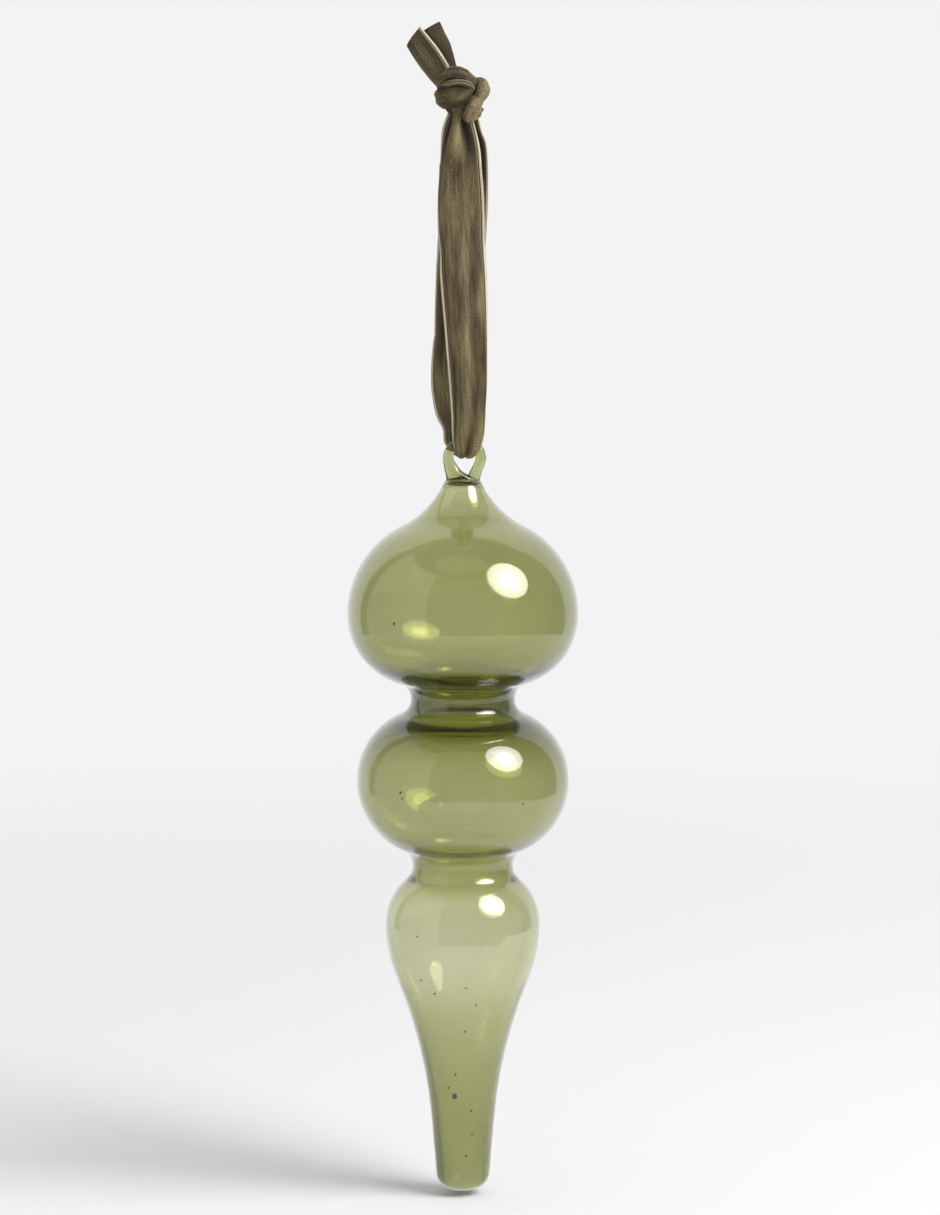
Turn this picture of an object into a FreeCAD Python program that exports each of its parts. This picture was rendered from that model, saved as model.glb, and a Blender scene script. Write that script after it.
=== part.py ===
import FreeCAD, Part
import math
import os

import Sketcher
from FreeCAD import Vector

# Blown glass finial ornament, hung from a velvet ribbon that is knotted above it.
# Two pieces: the hollow glass with its fused hanging loop, and one length of ribbon.
# Millimetres, +Z up, +X to the right seen from the front, and the front faces -Y.
# The origin is the hang point: the inside top of the ribbon's loop, just under the knot.

# Driving dimensions: alias, value and what it sets

SIZES = [
    ("ribbon_width", 16.0, "velvet ribbon, edge to edge"),
    ("ribbon_thickness", 0.9, "backing and pile together"),
    ("ribbon_drop", 104.9, "hang point to the top of the glass loop"),
    ("ribbon_clearance", 0.25, "ribbon to glass, inside the loop"),
    ("strand_bow", 4.6, "how far each strand bows out in front of and behind the hang point"),
    ("knot_size", 17.4, "hang point to the top of the knot"),
    ("front_tail", 17.0, "front tail past the knot"),
    ("back_tail", 17.5, "back tail past the knot"),
    ("tail_lean", 36.0, "degrees that the tails lean to the left"),
    ("tail_tilt", 17.0, "degrees that the tails lean back"),
    ("cane_radius", 1.8, "glass cane of the hanging loop"),
    ("loop_radius", 5.4, "middle line of the loop"),
    ("loop_offset", 0.57, "loop centre to the right of the bulbs' axis"),
    ("loop_rise", 7.45, "crown's rim to the loop's centre"),
    ("root_half_width", 5.6, "flared root of the loop on the crown, across"),
    ("root_half_depth", 4.2, "flared root of the loop on the crown, front to back"),
    ("root_sink", 1.4, "how deep the root and the foot are melted into the crown"),
    ("foot_landing", 3.4, "where the cane's foot lands, to the right of the bulbs' axis"),
    ("foot_reach", 1.4, "where the cane's foot lands, behind the bulbs' axis"),
    ("foot_flare", 0.5, "how much wider the foot is than the cane"),
    ("crown_radius", 6.0, "rim of the crown"),
    ("crown_dome", 20.0, "gentle dome of the crown"),
    ("crown_cap", 3.0, "glass from the crown's rim down to the hollow"),
    ("crown_hollow", 6.1, "rim of the hollow's top, under the crown"),
    ("crown_wall", 1.1, "wall of the shoulder's inward curve"),
    ("shoulder_flare", 31.0, "inward curve from the crown to the first bulb"),
    ("shoulder_bulge", 32.9, "outward curve of the first bulb's upper half"),
    ("shoulder_thinning", 1.15, "how much wider that curve is in the hollow than an even wall gives"),
    ("bulb_1_drop", 44.6, "crown's rim to the first bulb's widest ring"),
    ("bulb_1_radius", 38.6, "first bulb"),
    ("bulb_1_wall", 1.85, "glass of the first bulb"),
    ("bulb_1_sag", 0.3, "how much lower the hollow of the first bulb is widest"),
    ("neck_1_drop", 28.5, "first bulb's widest ring to the first neck"),
    ("neck_1_radius", 17.4, "first neck"),
    ("neck_1_wall", 3.0, "glass of the first neck"),
    ("neck_1_thinning", 0.6, "how much tighter than an even wall the hollow turns above the first neck"),
    ("neck_1_upper_curve", 6.0, "inward curve above the first neck"),
    ("neck_1_lower_curve", 5.6, "inward curve below the first neck"),
    ("bulb_2_drop", 27.4, "first neck to the second bulb's widest ring"),
    ("bulb_2_radius", 35.5, "second bulb"),
    ("bulb_2_wall", 1.7, "glass of the second bulb"),
    ("bulb_2_sag", 0.5, "how much lower the hollow of the second bulb is widest"),
    ("neck_2_drop", 29.0, "second bulb's widest ring to the second neck"),
    ("neck_2_radius", 16.8, "second neck"),
    ("neck_2_wall", 2.0, "glass of the second neck"),
    ("neck_2_thinning", 0.4, "how much tighter than an even wall the hollow turns above the second neck"),
    ("neck_2_upper_curve", 6.2, "inward curve above the second neck"),
    ("neck_2_lower_curve", 6.0, "inward curve below the second neck"),
    ("bulb_3_drop", 19.8, "second neck to the third bulb's widest ring"),
    ("bulb_3_radius", 25.9, "third bulb"),
    ("bulb_3_wall", 0.9, "glass of the third bulb"),
    ("bulb_3_thinning", 1.8, "how much tighter than an even wall the hollow turns below the second neck"),
    ("bulb_3_bulge", 48.0, "outward curve from the third bulb into the stem"),
    ("stem_radius", 10.05, "narrowest that the stem's inward curve would reach"),
    ("stem_drop", 79.9, "third bulb's widest ring to that narrowest place"),
    ("stem_wall", 2.35, "glass of the stem"),
    ("stem_curve_drop", 66.2, "third bulb's widest ring to the end of the stem's curve"),
    ("tip_drop", 91.4, "third bulb's widest ring to the bottom of the tip"),
    ("tip_corner", 5.5, "round edge of the tip"),
    ("tip_dome", 14.0, "gentle dome under the tip"),
    ("tip_base", 3.0, "glass under the hollow at the tip"),
]

# Sizes that follow from the driving ones. Depths are measured down from the loop's
# centre, and names that start with bore belong to the hollow inside the glass.

DERIVED = [
    ("loop_centre_drop", "=ribbon_drop + cane_radius + loop_radius"),
    ("rim_depth", "=loop_rise"),
    ("bulb_1_depth", "=rim_depth + bulb_1_drop"),
    ("neck_1_depth", "=bulb_1_depth + neck_1_drop"),
    ("bulb_2_depth", "=neck_1_depth + bulb_2_drop"),
    ("neck_2_depth", "=bulb_2_depth + neck_2_drop"),
    ("bulb_3_depth", "=neck_2_depth + bulb_3_drop"),
    ("stem_depth", "=bulb_3_depth + stem_drop"),
    ("stem_curve_depth", "=bulb_3_depth + stem_curve_drop"),
    ("tip_depth", "=bulb_3_depth + tip_drop"),
    ("bore_crown_radius", "=crown_hollow"),
    ("bore_crown_dome", "=crown_dome - crown_cap"),
    ("bore_rim_depth", "=rim_depth + crown_cap"),
    ("bore_shoulder_flare", "=shoulder_flare + crown_wall"),
    ("bore_shoulder_bulge", "=shoulder_bulge - bulb_1_wall + shoulder_thinning"),
    ("bore_bulb_1_radius", "=bulb_1_radius - bulb_1_wall"),
    ("bore_bulb_1_depth", "=bulb_1_depth + bulb_1_sag"),
    ("bore_neck_1_radius", "=neck_1_radius - neck_1_wall"),
    ("bore_neck_1_upper_curve", "=neck_1_upper_curve + neck_1_wall - neck_1_thinning"),
    ("bore_neck_1_lower_curve", "=neck_1_lower_curve + neck_1_wall"),
    ("bore_bulb_2_radius", "=bulb_2_radius - bulb_2_wall"),
    ("bore_bulb_2_depth", "=bulb_2_depth + bulb_2_sag"),
    ("bore_neck_2_radius", "=neck_2_radius - neck_2_wall"),
    ("bore_neck_2_upper_curve", "=neck_2_upper_curve + neck_2_wall - neck_2_thinning"),
    ("bore_neck_2_lower_curve", "=neck_2_lower_curve + neck_2_wall - bulb_3_thinning"),
    ("bore_bulb_3_radius", "=bulb_3_radius - bulb_3_wall"),
    ("bore_bulb_3_bulge", "=bulb_3_bulge - bulb_3_wall"),
    ("bore_stem_radius", "=stem_radius - stem_wall"),
    ("bore_tip_corner", "=tip_corner - stem_wall"),
    ("bore_tip_dome", "=tip_dome - tip_base"),
    ("bore_tip_depth", "=tip_depth - tip_base"),
]

doc = FreeCAD.newDocument("finial_ornament")
sheet = doc.addObject("Spreadsheet::Sheet", "Sizes")
for row, (alias, value, note) in enumerate(SIZES, start=1):
    sheet.set(f"A{row}", note)
    sheet.set(f"B{row}", str(value))
    sheet.setAlias(f"B{row}", alias)
for row, (alias, formula) in enumerate(DERIVED, start=1):
    sheet.set(f"D{row}", formula)
    sheet.setAlias(f"D{row}", alias)
doc.recompute()


def size(alias):
    """A dimension, read from the sheet."""
    return float(sheet.get(alias))


# Helpers for sketches. A sketch numbers the ends of a curve, and its own two axes.

START, END, CENTRE = 1, 2, 3
AXIS_ACROSS, AXIS_UP = -1, -2


def origin_plane(body, role):
    """One of the body's own origin planes, such as XZ_Plane."""
    return next(item for item in body.Origin.OriginFeatures if item.Role == role)


def new_sketch(body, name, role):
    """An empty sketch on one of the body's origin planes."""
    sketch = body.newObject("Sketcher::SketchObject", name)
    sketch.AttachmentSupport = [(origin_plane(body, role), "")]
    sketch.MapMode = "FlatFace"
    return sketch


def bind(sketch, alias, *constraint):
    """Add a dimension to the sketch and tie it to the sheet."""
    index = sketch.addConstraint(Sketcher.Constraint(*constraint, size(alias)))
    name = f"{alias}_{index}"
    sketch.renameConstraint(index, name)
    sketch.setExpression(f"Constraints.{name}", f"Sizes.{alias}")


def add_line(sketch, start, end):
    """A straight piece: its number in the sketch, and which ends are its start and end."""
    return sketch.addGeometry(Part.LineSegment(start, end)), START, END


def add_arc(sketch, centre, start, end):
    """The shorter arc from start to end: its number, and which ends are start and end."""
    first = start - centre
    last = end - centre
    circle = Part.Circle(centre, Vector(0, 0, 1), first.Length)
    first_angle = math.atan2(first.y, first.x)
    last_angle = math.atan2(last.y, last.x)
    if first.cross(last).z > 0:
        return sketch.addGeometry(Part.ArcOfCircle(circle, first_angle, last_angle)), START, END
    return sketch.addGeometry(Part.ArcOfCircle(circle, last_angle, first_angle)), END, START


# The half section of the glass: arcs that run smoothly into each other

def partner_curve(curve, wide, narrow, drop):
    """Radius of the arc that carries on from one of radius curve, between a widest and a
    narrowest ring that lie drop apart, so that both rings have an upright tangent."""
    return ((curve + narrow - wide) ** 2 + drop ** 2 - curve ** 2) / (2 * (wide - narrow))


def towards(start, end, distance):
    """The point at that distance from start, on the way to end."""
    return start + (end - start).normalize() * distance


def draw_half_section(sketch, skin):
    """Draw the closed half section. skin is empty for the outside, or bore_ for the hollow."""

    def radius(name):
        return size(skin + name)

    def ring(radius_name, depth_name):
        return Vector(radius(radius_name), -size(depth_name), 0)

    rim = ring("crown_radius", skin + "rim_depth")
    bulb_1 = ring("bulb_1_radius", skin + "bulb_1_depth")
    neck_1 = ring("neck_1_radius", "neck_1_depth")
    bulb_2 = ring("bulb_2_radius", skin + "bulb_2_depth")
    neck_2 = ring("neck_2_radius", "neck_2_depth")
    bulb_3 = ring("bulb_3_radius", "bulb_3_depth")
    stem = ring("stem_radius", "stem_depth")
    tip = Vector(0, -size(skin + "tip_depth"), 0)

    # The crown's dome has its centre on the axis
    dome = radius("crown_dome")
    dome_centre = Vector(0, rim.y - math.sqrt(dome ** 2 - rim.x ** 2), 0)
    top = dome_centre + Vector(0, dome, 0)

    # The shoulder: an inward curve through the rim, touching the bulb's round curve
    flare = radius("shoulder_flare")
    bulge = radius("shoulder_bulge")
    bulge_centre = bulb_1 - Vector(bulge, 0, 0)
    spoke = rim - bulge_centre
    reach = bulge + flare
    along = (spoke.Length ** 2 + reach ** 2 - flare ** 2) / (2 * spoke.Length)
    aside = math.sqrt(reach ** 2 - along ** 2)
    up = Vector(spoke).normalize()
    flare_centre = bulge_centre + up * along + Vector(up.y, -up.x, 0) * aside

    pieces = [
        ("dome", add_arc(sketch, dome_centre, top, rim)),
        ("flare", add_arc(sketch, flare_centre, rim, towards(bulge_centre, flare_centre, bulge))),
        ("bulge", add_arc(sketch, bulge_centre, towards(bulge_centre, flare_centre, bulge), bulb_1)),
    ]

    def half_bulb(wide, narrow, wide_curve, narrow_curve, name, downward):
        """The round curve of a bulb and the inward curve of the neck beside it."""
        wide_centre = wide - Vector(wide_curve, 0, 0)
        narrow_centre = narrow + Vector(narrow_curve, 0, 0)
        touch = towards(wide_centre, narrow_centre, wide_curve)
        if downward:
            pieces.append((name + "_bulge", add_arc(sketch, wide_centre, wide, touch)))
            pieces.append((name + "_curve", add_arc(sketch, narrow_centre, touch, narrow)))
        else:
            pieces.append((name + "_curve", add_arc(sketch, narrow_centre, narrow, touch)))
            pieces.append((name + "_bulge", add_arc(sketch, wide_centre, touch, wide)))

    for wide, narrow, name, downward in (
        (bulb_1, neck_1, "neck_1_upper", True),
        (bulb_2, neck_1, "neck_1_lower", False),
        (bulb_2, neck_2, "neck_2_upper", True),
        (bulb_3, neck_2, "neck_2_lower", False),
    ):
        curve = radius(name + "_curve")
        drop = abs(wide.y - narrow.y)
        half_bulb(wide, narrow, partner_curve(curve, wide.x, narrow.x, drop), curve, name, downward)

    # The third bulb runs into the stem's long inward curve, which ends above its narrowest
    wide_curve = radius("bulb_3_bulge")
    long_curve = partner_curve(wide_curve, bulb_3.x, stem.x, bulb_3.y - stem.y)
    wide_centre = bulb_3 - Vector(wide_curve, 0, 0)
    long_centre = stem + Vector(long_curve, 0, 0)
    touch = towards(wide_centre, long_centre, wide_curve)
    end_y = -size("stem_curve_depth")
    end_x = long_centre.x - math.sqrt(long_curve ** 2 - (end_y - long_centre.y) ** 2)
    curve_end = Vector(end_x, end_y, 0)

    # Below that the stem tapers straight into the round edge and the dome of the tip
    inward = (curve_end - long_centre).normalize()
    down = Vector(-inward.y, inward.x, 0)
    corner = radius("tip_corner")
    tip_dome = radius("tip_dome")
    tip_centre = tip + Vector(0, tip_dome, 0)
    start = curve_end + inward * corner - tip_centre
    along = start.dot(down)
    travel = -along + math.sqrt(along ** 2 - start.dot(start) + (tip_dome - corner) ** 2)
    taper_end = curve_end + down * travel
    corner_centre = taper_end + inward * corner
    corner_end = towards(tip_centre, corner_centre, tip_dome)
    pieces += [
        ("bulb_3_bulge", add_arc(sketch, wide_centre, bulb_3, touch)),
        ("stem_curve", add_arc(sketch, long_centre, touch, curve_end)),
        ("taper", add_line(sketch, curve_end, taper_end)),
        ("tip_corner", add_arc(sketch, corner_centre, taper_end, corner_end)),
        ("tip_dome", add_arc(sketch, tip_centre, corner_end, tip)),
        ("axis", add_line(sketch, tip, top)),
    ]
    number = {name: piece[0] for name, piece in pieces}
    first_end = {name: piece[1] for name, piece in pieces}
    last_end = {name: piece[2] for name, piece in pieces}

    # Neighbours touch smoothly, except at the crown's rim and at the axis
    sharp = {("dome", "flare"), ("tip_dome", "axis"), ("axis", "dome")}
    names = [name for name, _ in pieces]
    for name, following in zip(names, names[1:] + names[:1]):
        kind = "Coincident" if (name, following) in sharp else "Tangent"
        sketch.addConstraint(Sketcher.Constraint(
            kind, number[name], last_end[name], number[following], first_end[following]))

    def hold_ring(name, radius_name, depth_name):
        """Fix the point where a piece ends: how far out it lies, and how deep."""
        bind(sketch, skin + radius_name, "DistanceX", AXIS_ACROSS, START, number[name], last_end[name])
        bind(sketch, depth_name, "DistanceY", number[name], last_end[name], AXIS_ACROSS, START)

    def level_centre(name):
        """Keep the piece's centre level with its end, for an upright tangent there."""
        sketch.addConstraint(Sketcher.Constraint(
            "Horizontal", number[name], CENTRE, number[name], last_end[name]))

    hold_ring("dome", "crown_radius", skin + "rim_depth")
    for name, radius_name, depth_name in (
        ("bulge", "bulb_1_radius", skin + "bulb_1_depth"),
        ("neck_1_upper_curve", "neck_1_radius", "neck_1_depth"),
        ("neck_1_lower_bulge", "bulb_2_radius", skin + "bulb_2_depth"),
        ("neck_2_upper_curve", "neck_2_radius", "neck_2_depth"),
        ("neck_2_lower_bulge", "bulb_3_radius", "bulb_3_depth"),
    ):
        hold_ring(name, radius_name, depth_name)
        level_centre(name)

    for name, alias in (
        ("dome", "crown_dome"), ("flare", "shoulder_flare"), ("bulge", "shoulder_bulge"),
        ("neck_1_upper_curve", "neck_1_upper_curve"), ("neck_1_lower_curve", "neck_1_lower_curve"),
        ("neck_2_upper_curve", "neck_2_upper_curve"), ("neck_2_lower_curve", "neck_2_lower_curve"),
        ("bulb_3_bulge", "bulb_3_bulge"), ("tip_corner", "tip_corner"), ("tip_dome", "tip_dome"),
    ):
        bind(sketch, skin + alias, "Radius", number[name])

    # An upright guide line marks how narrow the stem's curve would get
    guide = sketch.addGeometry(Part.LineSegment(Vector(stem.x, 0, 0), stem), True)
    sketch.addConstraint(Sketcher.Constraint("Vertical", guide))
    sketch.addConstraint(Sketcher.Constraint("PointOnObject", guide, START, AXIS_ACROSS))
    bind(sketch, skin + "stem_radius", "DistanceX", AXIS_ACROSS, START, guide, END)
    bind(sketch, "stem_depth", "DistanceY", guide, END, AXIS_ACROSS, START)
    sketch.addConstraint(Sketcher.Constraint("Tangent", guide, number["stem_curve"]))
    sketch.addConstraint(Sketcher.Constraint("Horizontal", number["stem_curve"], CENTRE, guide, END))
    bind(sketch, "stem_curve_depth", "DistanceY",
         number["stem_curve"], last_end["stem_curve"], AXIS_ACROSS, START)

    # The two domes are centred on the axis and end there
    for name, end in (("dome", first_end["dome"]), ("tip_dome", last_end["tip_dome"])):
        sketch.addConstraint(Sketcher.Constraint("PointOnObject", number[name], CENTRE, AXIS_UP))
        sketch.addConstraint(Sketcher.Constraint("PointOnObject", number[name], end, AXIS_UP))
    bind(sketch, skin + "tip_depth", "DistanceY",
         number["tip_dome"], last_end["tip_dome"], AXIS_ACROSS, START)


# Level cross-sections of the hanging loop's root and foot

def value_of(expression):
    """An expression over the sheet, as a number."""
    return float(sheet.evalExpression(expression))


def level_section(body, name, across, forward, depth, half_width, half_depth):
    """A level circle or oval. Its place and its half sizes are expressions over the sheet."""
    sketch = new_sketch(body, name, "XY_Plane")
    sketch.setExpression("AttachmentOffset.Base.x", f"{across}")
    sketch.setExpression("AttachmentOffset.Base.y", f"-({forward})")
    sketch.setExpression("AttachmentOffset.Base.z", f"-({depth})")
    upright = Vector(0, 0, 1)
    if half_width == half_depth:
        edge = sketch.addGeometry(Part.Circle(Vector(0, 0, 0), upright, value_of(half_width)))
        lengths = [("half_width", ("Radius", edge), half_width)]
    else:
        major = value_of(half_width)
        minor = value_of(half_depth)
        edge = sketch.addGeometry(Part.Ellipse(Vector(major, 0, 0), Vector(0, minor, 0), Vector(0, 0, 0)))
        sketch.exposeInternalGeometry(edge)
        major_axis, minor_axis = edge + 1, edge + 2
        sketch.addConstraint(Sketcher.Constraint("Horizontal", major_axis))
        lengths = [
            ("full_width", ("Distance", major_axis), f"2 * ({half_width})"),
            ("full_depth", ("Distance", minor_axis), f"2 * ({half_depth})"),
        ]
    sketch.addConstraint(Sketcher.Constraint("Coincident", edge, CENTRE, AXIS_ACROSS, START))
    for label, constraint, expression in lengths:
        index = sketch.addConstraint(Sketcher.Constraint(*constraint, value_of(expression)))
        sketch.renameConstraint(index, label)
        sketch.setExpression(f"Constraints.{label}", expression)
    return sketch


def add_loft(body, name, sections):
    """A smooth solid through the sections."""
    loft = body.newObject("PartDesign::AdditiveLoft", name)
    loft.Profile = sections[0]
    loft.Sections = sections[1:]
    return loft


# Glass finial: blown body, hot-applied loop, sealed hollow

glass = doc.addObject("PartDesign::Body", "glass_finial")
glass.Label = "glass_finial"
glass.setExpression("Placement.Base.z", "-Sizes.loop_centre_drop")

outer_section = new_sketch(glass, "outer_half_section", "XZ_Plane")
draw_half_section(outer_section, "")
blown = glass.newObject("PartDesign::Revolution", "blown_body")
blown.Profile = outer_section
blown.ReferenceAxis = (outer_section, ["V_Axis"])
blown.Angle = 360
doc.recompute()

# The root spreads over the crown and gathers into the cane at the loop's left side.
# Each row: share of the way out to the left, share of the spread, depth.
ROOT_ROWS = [
    (0.0, 1.0, "Sizes.loop_rise + Sizes.root_sink"),
    (0.25, 0.62, "Sizes.loop_rise * 0.88"),
    (0.64, 0.2, "Sizes.loop_rise * 0.54"),
]
root_sections = []
for number, (lean, spread, depth) in enumerate(ROOT_ROWS, start=1):
    root_sections.append(level_section(
        glass, f"root_section_{number}",
        f"(Sizes.loop_offset - Sizes.loop_radius) * {lean}", "0", depth,
        f"Sizes.cane_radius + (Sizes.root_half_width - Sizes.cane_radius) * {spread}",
        f"Sizes.cane_radius + (Sizes.root_half_depth - Sizes.cane_radius) * {spread}"))
root_sections.append(level_section(
    glass, "root_end", "Sizes.loop_offset - Sizes.loop_radius", "0", "0",
    "Sizes.cane_radius", "Sizes.cane_radius"))
root = add_loft(glass, "loop_root", root_sections)
doc.recompute()

# From there the cane is swept over the top along half a circle
middle_line = new_sketch(glass, "loop_middle_line", "XZ_Plane")
centre = Vector(size("loop_offset"), 0, 0)
half_circle = middle_line.addGeometry(
    Part.ArcOfCircle(Part.Circle(centre, Vector(0, 0, 1), size("loop_radius")), 0, math.pi))
for end in (START, END, CENTRE):
    middle_line.addConstraint(Sketcher.Constraint("PointOnObject", half_circle, end, AXIS_ACROSS))
bind(middle_line, "loop_offset", "DistanceX", AXIS_ACROSS, START, half_circle, CENTRE)
bind(middle_line, "loop_radius", "Radius", half_circle)
cane_section = level_section(
    glass, "cane_section", "Sizes.loop_offset + Sizes.loop_radius", "0", "0",
    "Sizes.cane_radius", "Sizes.cane_radius")
cane = glass.newObject("PartDesign::AdditivePipe", "loop_cane")
cane.Profile = cane_section
cane.Spine = (middle_line, ["Edge1"])
doc.recompute()

# And the foot comes down on the right, behind the root.
# Each row: share of the way in to the landing, share of the reach back, widening, depth.
FOOT_ROWS = [
    (0.0, 0.0, 0.0, "0"),
    (0.35, 0.2, 0.1, "Sizes.loop_rise * 0.34"),
    (0.75, 0.55, 0.25, "Sizes.loop_rise * 0.62"),
    (0.92, 0.9, 0.5, "Sizes.loop_rise * 0.93"),
    (1.0, 1.0, 1.0, "Sizes.loop_rise + Sizes.root_sink"),
]
foot_sections = []
for number, (lean, reach, widening, depth) in enumerate(FOOT_ROWS, start=1):
    right_side = "(Sizes.loop_offset + Sizes.loop_radius)"
    radius = f"Sizes.cane_radius + Sizes.foot_flare * {widening}"
    foot_sections.append(level_section(
        glass, f"foot_section_{number}",
        f"{right_side} + (Sizes.foot_landing - {right_side}) * {lean}",
        f"-Sizes.foot_reach * {reach}", depth, radius, radius))
foot = add_loft(glass, "loop_foot", foot_sections)
doc.recompute()

bore_section = new_sketch(glass, "bore_half_section", "XZ_Plane")
draw_half_section(bore_section, "bore_")
solid_volume = glass.Shape.Volume
hollow = glass.newObject("PartDesign::Groove", "hollow")
hollow.Profile = bore_section
hollow.ReferenceAxis = (bore_section, ["V_Axis"])
hollow.Angle = 360
doc.recompute()


# Ribbon sections and lofts

SECTION_POINTS = 9
LOBE_POINTS = 12


def smooth_edge(points, closed):
    """A curve through the points, its knots evenly spaced so that sections match."""
    spans = len(points) if closed else len(points) - 1
    curve = Part.BSplineCurve()
    knots = [float(number) for number in range(spans + 1)]
    curve.interpolate(Points=points, PeriodicFlag=closed, Parameters=knots)
    return curve.toShape()


def strip_section(middle, across, outward, spread, thickness, sweep):
    """A closed wire across the ribbon: spread wide and bent through sweep degrees.

    A positive sweep turns the two edges away from outward, a negative one towards it."""
    bend = math.radians(sweep) / spread
    outer = []
    inner = []
    for number in range(SECTION_POINTS):
        along = spread * (number / (SECTION_POINTS - 1) - 0.5)
        turn = bend * along
        side = along if abs(bend) < 1e-6 else math.sin(turn) / bend
        lift = 0 if abs(bend) < 1e-6 else (math.cos(turn) - 1) / bend
        point = middle + across * side + outward * lift
        normal = across * math.sin(turn) + outward * math.cos(turn)
        outer.append(point + normal * (thickness / 2))
        inner.append(point - normal * (thickness / 2))
    inner.reverse()
    return Part.Wire([
        smooth_edge(outer, False),
        Part.LineSegment(outer[-1], inner[0]).toShape(),
        smooth_edge(inner, False),
        Part.LineSegment(inner[-1], outer[0]).toShape(),
    ])


def oval_section(middle, across, outward, half_width, half_thickness):
    """A closed oval wire, across one turn of the knot."""
    points = []
    for number in range(LOBE_POINTS):
        angle = 2 * math.pi * number / LOBE_POINTS
        points.append(middle + across * (half_width * math.cos(angle))
                      + outward * (half_thickness * math.sin(angle)))
    return Part.Wire([smooth_edge(points, True)])


def add_solid(name, wires):
    """A smooth solid through the wires, as an object of the document."""
    feature = doc.addObject("Part::Feature", name)
    feature.Shape = Part.makeLoft(wires, True)
    return feature


RIGHT = Vector(1, 0, 0)
FRONT = Vector(0, -1, 0)
UP = Vector(0, 0, 1)
wide = size("ribbon_width")
thick = size("ribbon_thickness")
cane_centre = Vector(size("loop_offset"), 0, -size("ribbon_drop") - size("cane_radius"))
seat = size("cane_radius") + size("ribbon_clearance")

# The two strands. Each row: share of the way down from the hang point to the glass,
# side step as a share of the ribbon's width, share of the bow, share of the ribbon's
# width that is left after gathering, and how many degrees the section bends through.
FRONT_ROWS = [
    (-0.05, -0.07, 0.25, 0.42, 60),
    (0.01, -0.08, 0.42, 0.58, 70),
    (0.045, -0.085, 0.58, 0.78, 70),
    (0.1, -0.06, 0.74, 0.92, 60),
    (0.25, -0.037, 0.96, 1.0, 40),
    (0.5, 0.02, 1.0, 1.0, 35),
    (0.68, 0.06, 0.98, 0.97, 70),
    (0.8, 0.085, 0.91, 0.91, 85),
    (0.9, 0.1, 0.8, 0.78, 75),
    (0.96, 0.085, 0.7, 0.69, 40),
]
BACK_ROWS = [
    (0.96, -0.1, 0.7, 0.72, 20),
    (0.9, -0.12, 0.8, 0.86, 30),
    (0.8, -0.14, 0.9, 0.98, 25),
    (0.65, -0.125, 0.98, 1.0, 20),
    (0.5, -0.09, 1.0, 1.0, 20),
    (0.25, 0.045, 0.95, 1.0, 30),
    (0.1, 0.1, 0.74, 0.86, 60),
    (0.045, 0.095, 0.58, 0.68, 70),
    (0.01, 0.07, 0.42, 0.54, 70),
    (-0.05, 0.05, 0.25, 0.42, 60),
]


def strand_sections(rows, outward):
    """Level sections of one strand."""
    sections = []
    for down, side, bow, gather, sweep in rows:
        middle = Vector(side * wide, 0, down * cane_centre.z) + outward * (bow * size("strand_bow"))
        sections.append(strip_section(middle, RIGHT, outward, gather * wide, thick / gather, sweep))
    return sections


# Inside the glass loop the ribbon is folded in two and pressed up into the arch, so its
# section is a half ring. On the way round the cane it opens out again.
packed = 2 * thick + 0.1
arch = size("loop_radius") - seat - packed / 2
EYE_ROWS = [
    (0, 0.04, 0.6, 10),
    (45, 0.02, 0.53, -90),
    (90, 0.0, math.pi * arch / wide, -180),
    (135, -0.04, 0.53, -90),
    (180, -0.09, 0.6, 0),
]


def eye_sections():
    """Sections that turn with the ribbon, from the front strand under the cane to the back."""
    sections = []
    for angle, side, gather, sweep in EYE_ROWS:
        turn = math.radians(angle)
        outward = FRONT * math.cos(turn) - UP * math.sin(turn)
        thickness = packed if angle == 90 else thick / gather
        middle = cane_centre + RIGHT * (side * wide) + outward * (seat + thickness / 2)
        sections.append(strip_section(middle, RIGHT, outward, gather * wide, thickness, sweep))
    return sections


strand = add_solid("strand", strand_sections(FRONT_ROWS, FRONT) + eye_sections()
                   + strand_sections(BACK_ROWS, FRONT * -1))

# The knot: turns of the doubled ribbon. Each row is one oval section: where its middle
# lies (right, front, up), half its width and half its thickness, as shares of knot_size.
KNOT_TURNS = {
    "knot_core": [
        (-0.03, 0.0, 0.06, 0.17, 0.15),
        (-0.05, -0.01, 0.25, 0.3, 0.24),
        (-0.07, -0.02, 0.52, 0.34, 0.27),
        (-0.13, -0.02, 0.74, 0.26, 0.22),
        (-0.2, -0.02, 0.88, 0.15, 0.14),
    ],
    "upper_turn": [
        (-0.36, -0.08, 0.6, 0.15, 0.12),
        (-0.37, 0.15, 0.75, 0.17, 0.13),
        (-0.11, 0.25, 0.86, 0.18, 0.14),
        (0.11, 0.17, 0.8, 0.17, 0.13),
        (0.2, -0.06, 0.62, 0.15, 0.12),
    ],
    "lower_turn": [
        (0.16, 0.17, 0.6, 0.11, 0.1),
        (-0.08, 0.33, 0.52, 0.22, 0.11),
        (-0.32, 0.3, 0.44, 0.23, 0.12),
        (-0.43, 0.08, 0.41, 0.2, 0.12),
        (-0.34, -0.16, 0.46, 0.17, 0.12),
    ],
    "right_turn": [
        (0.2, -0.2, 0.6, 0.14, 0.13),
        (0.35, 0.0, 0.66, 0.15, 0.13),
        (0.34, 0.17, 0.49, 0.19, 0.13),
        (0.24, 0.2, 0.27, 0.2, 0.12),
        (0.22, 0.12, 0.08, 0.14, 0.1),
    ],
    "back_turn": [
        (-0.34, -0.1, 0.44, 0.15, 0.12),
        (-0.16, -0.3, 0.44, 0.19, 0.12),
        (0.08, -0.32, 0.5, 0.19, 0.12),
        (0.26, -0.16, 0.6, 0.15, 0.12),
    ],
}


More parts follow.
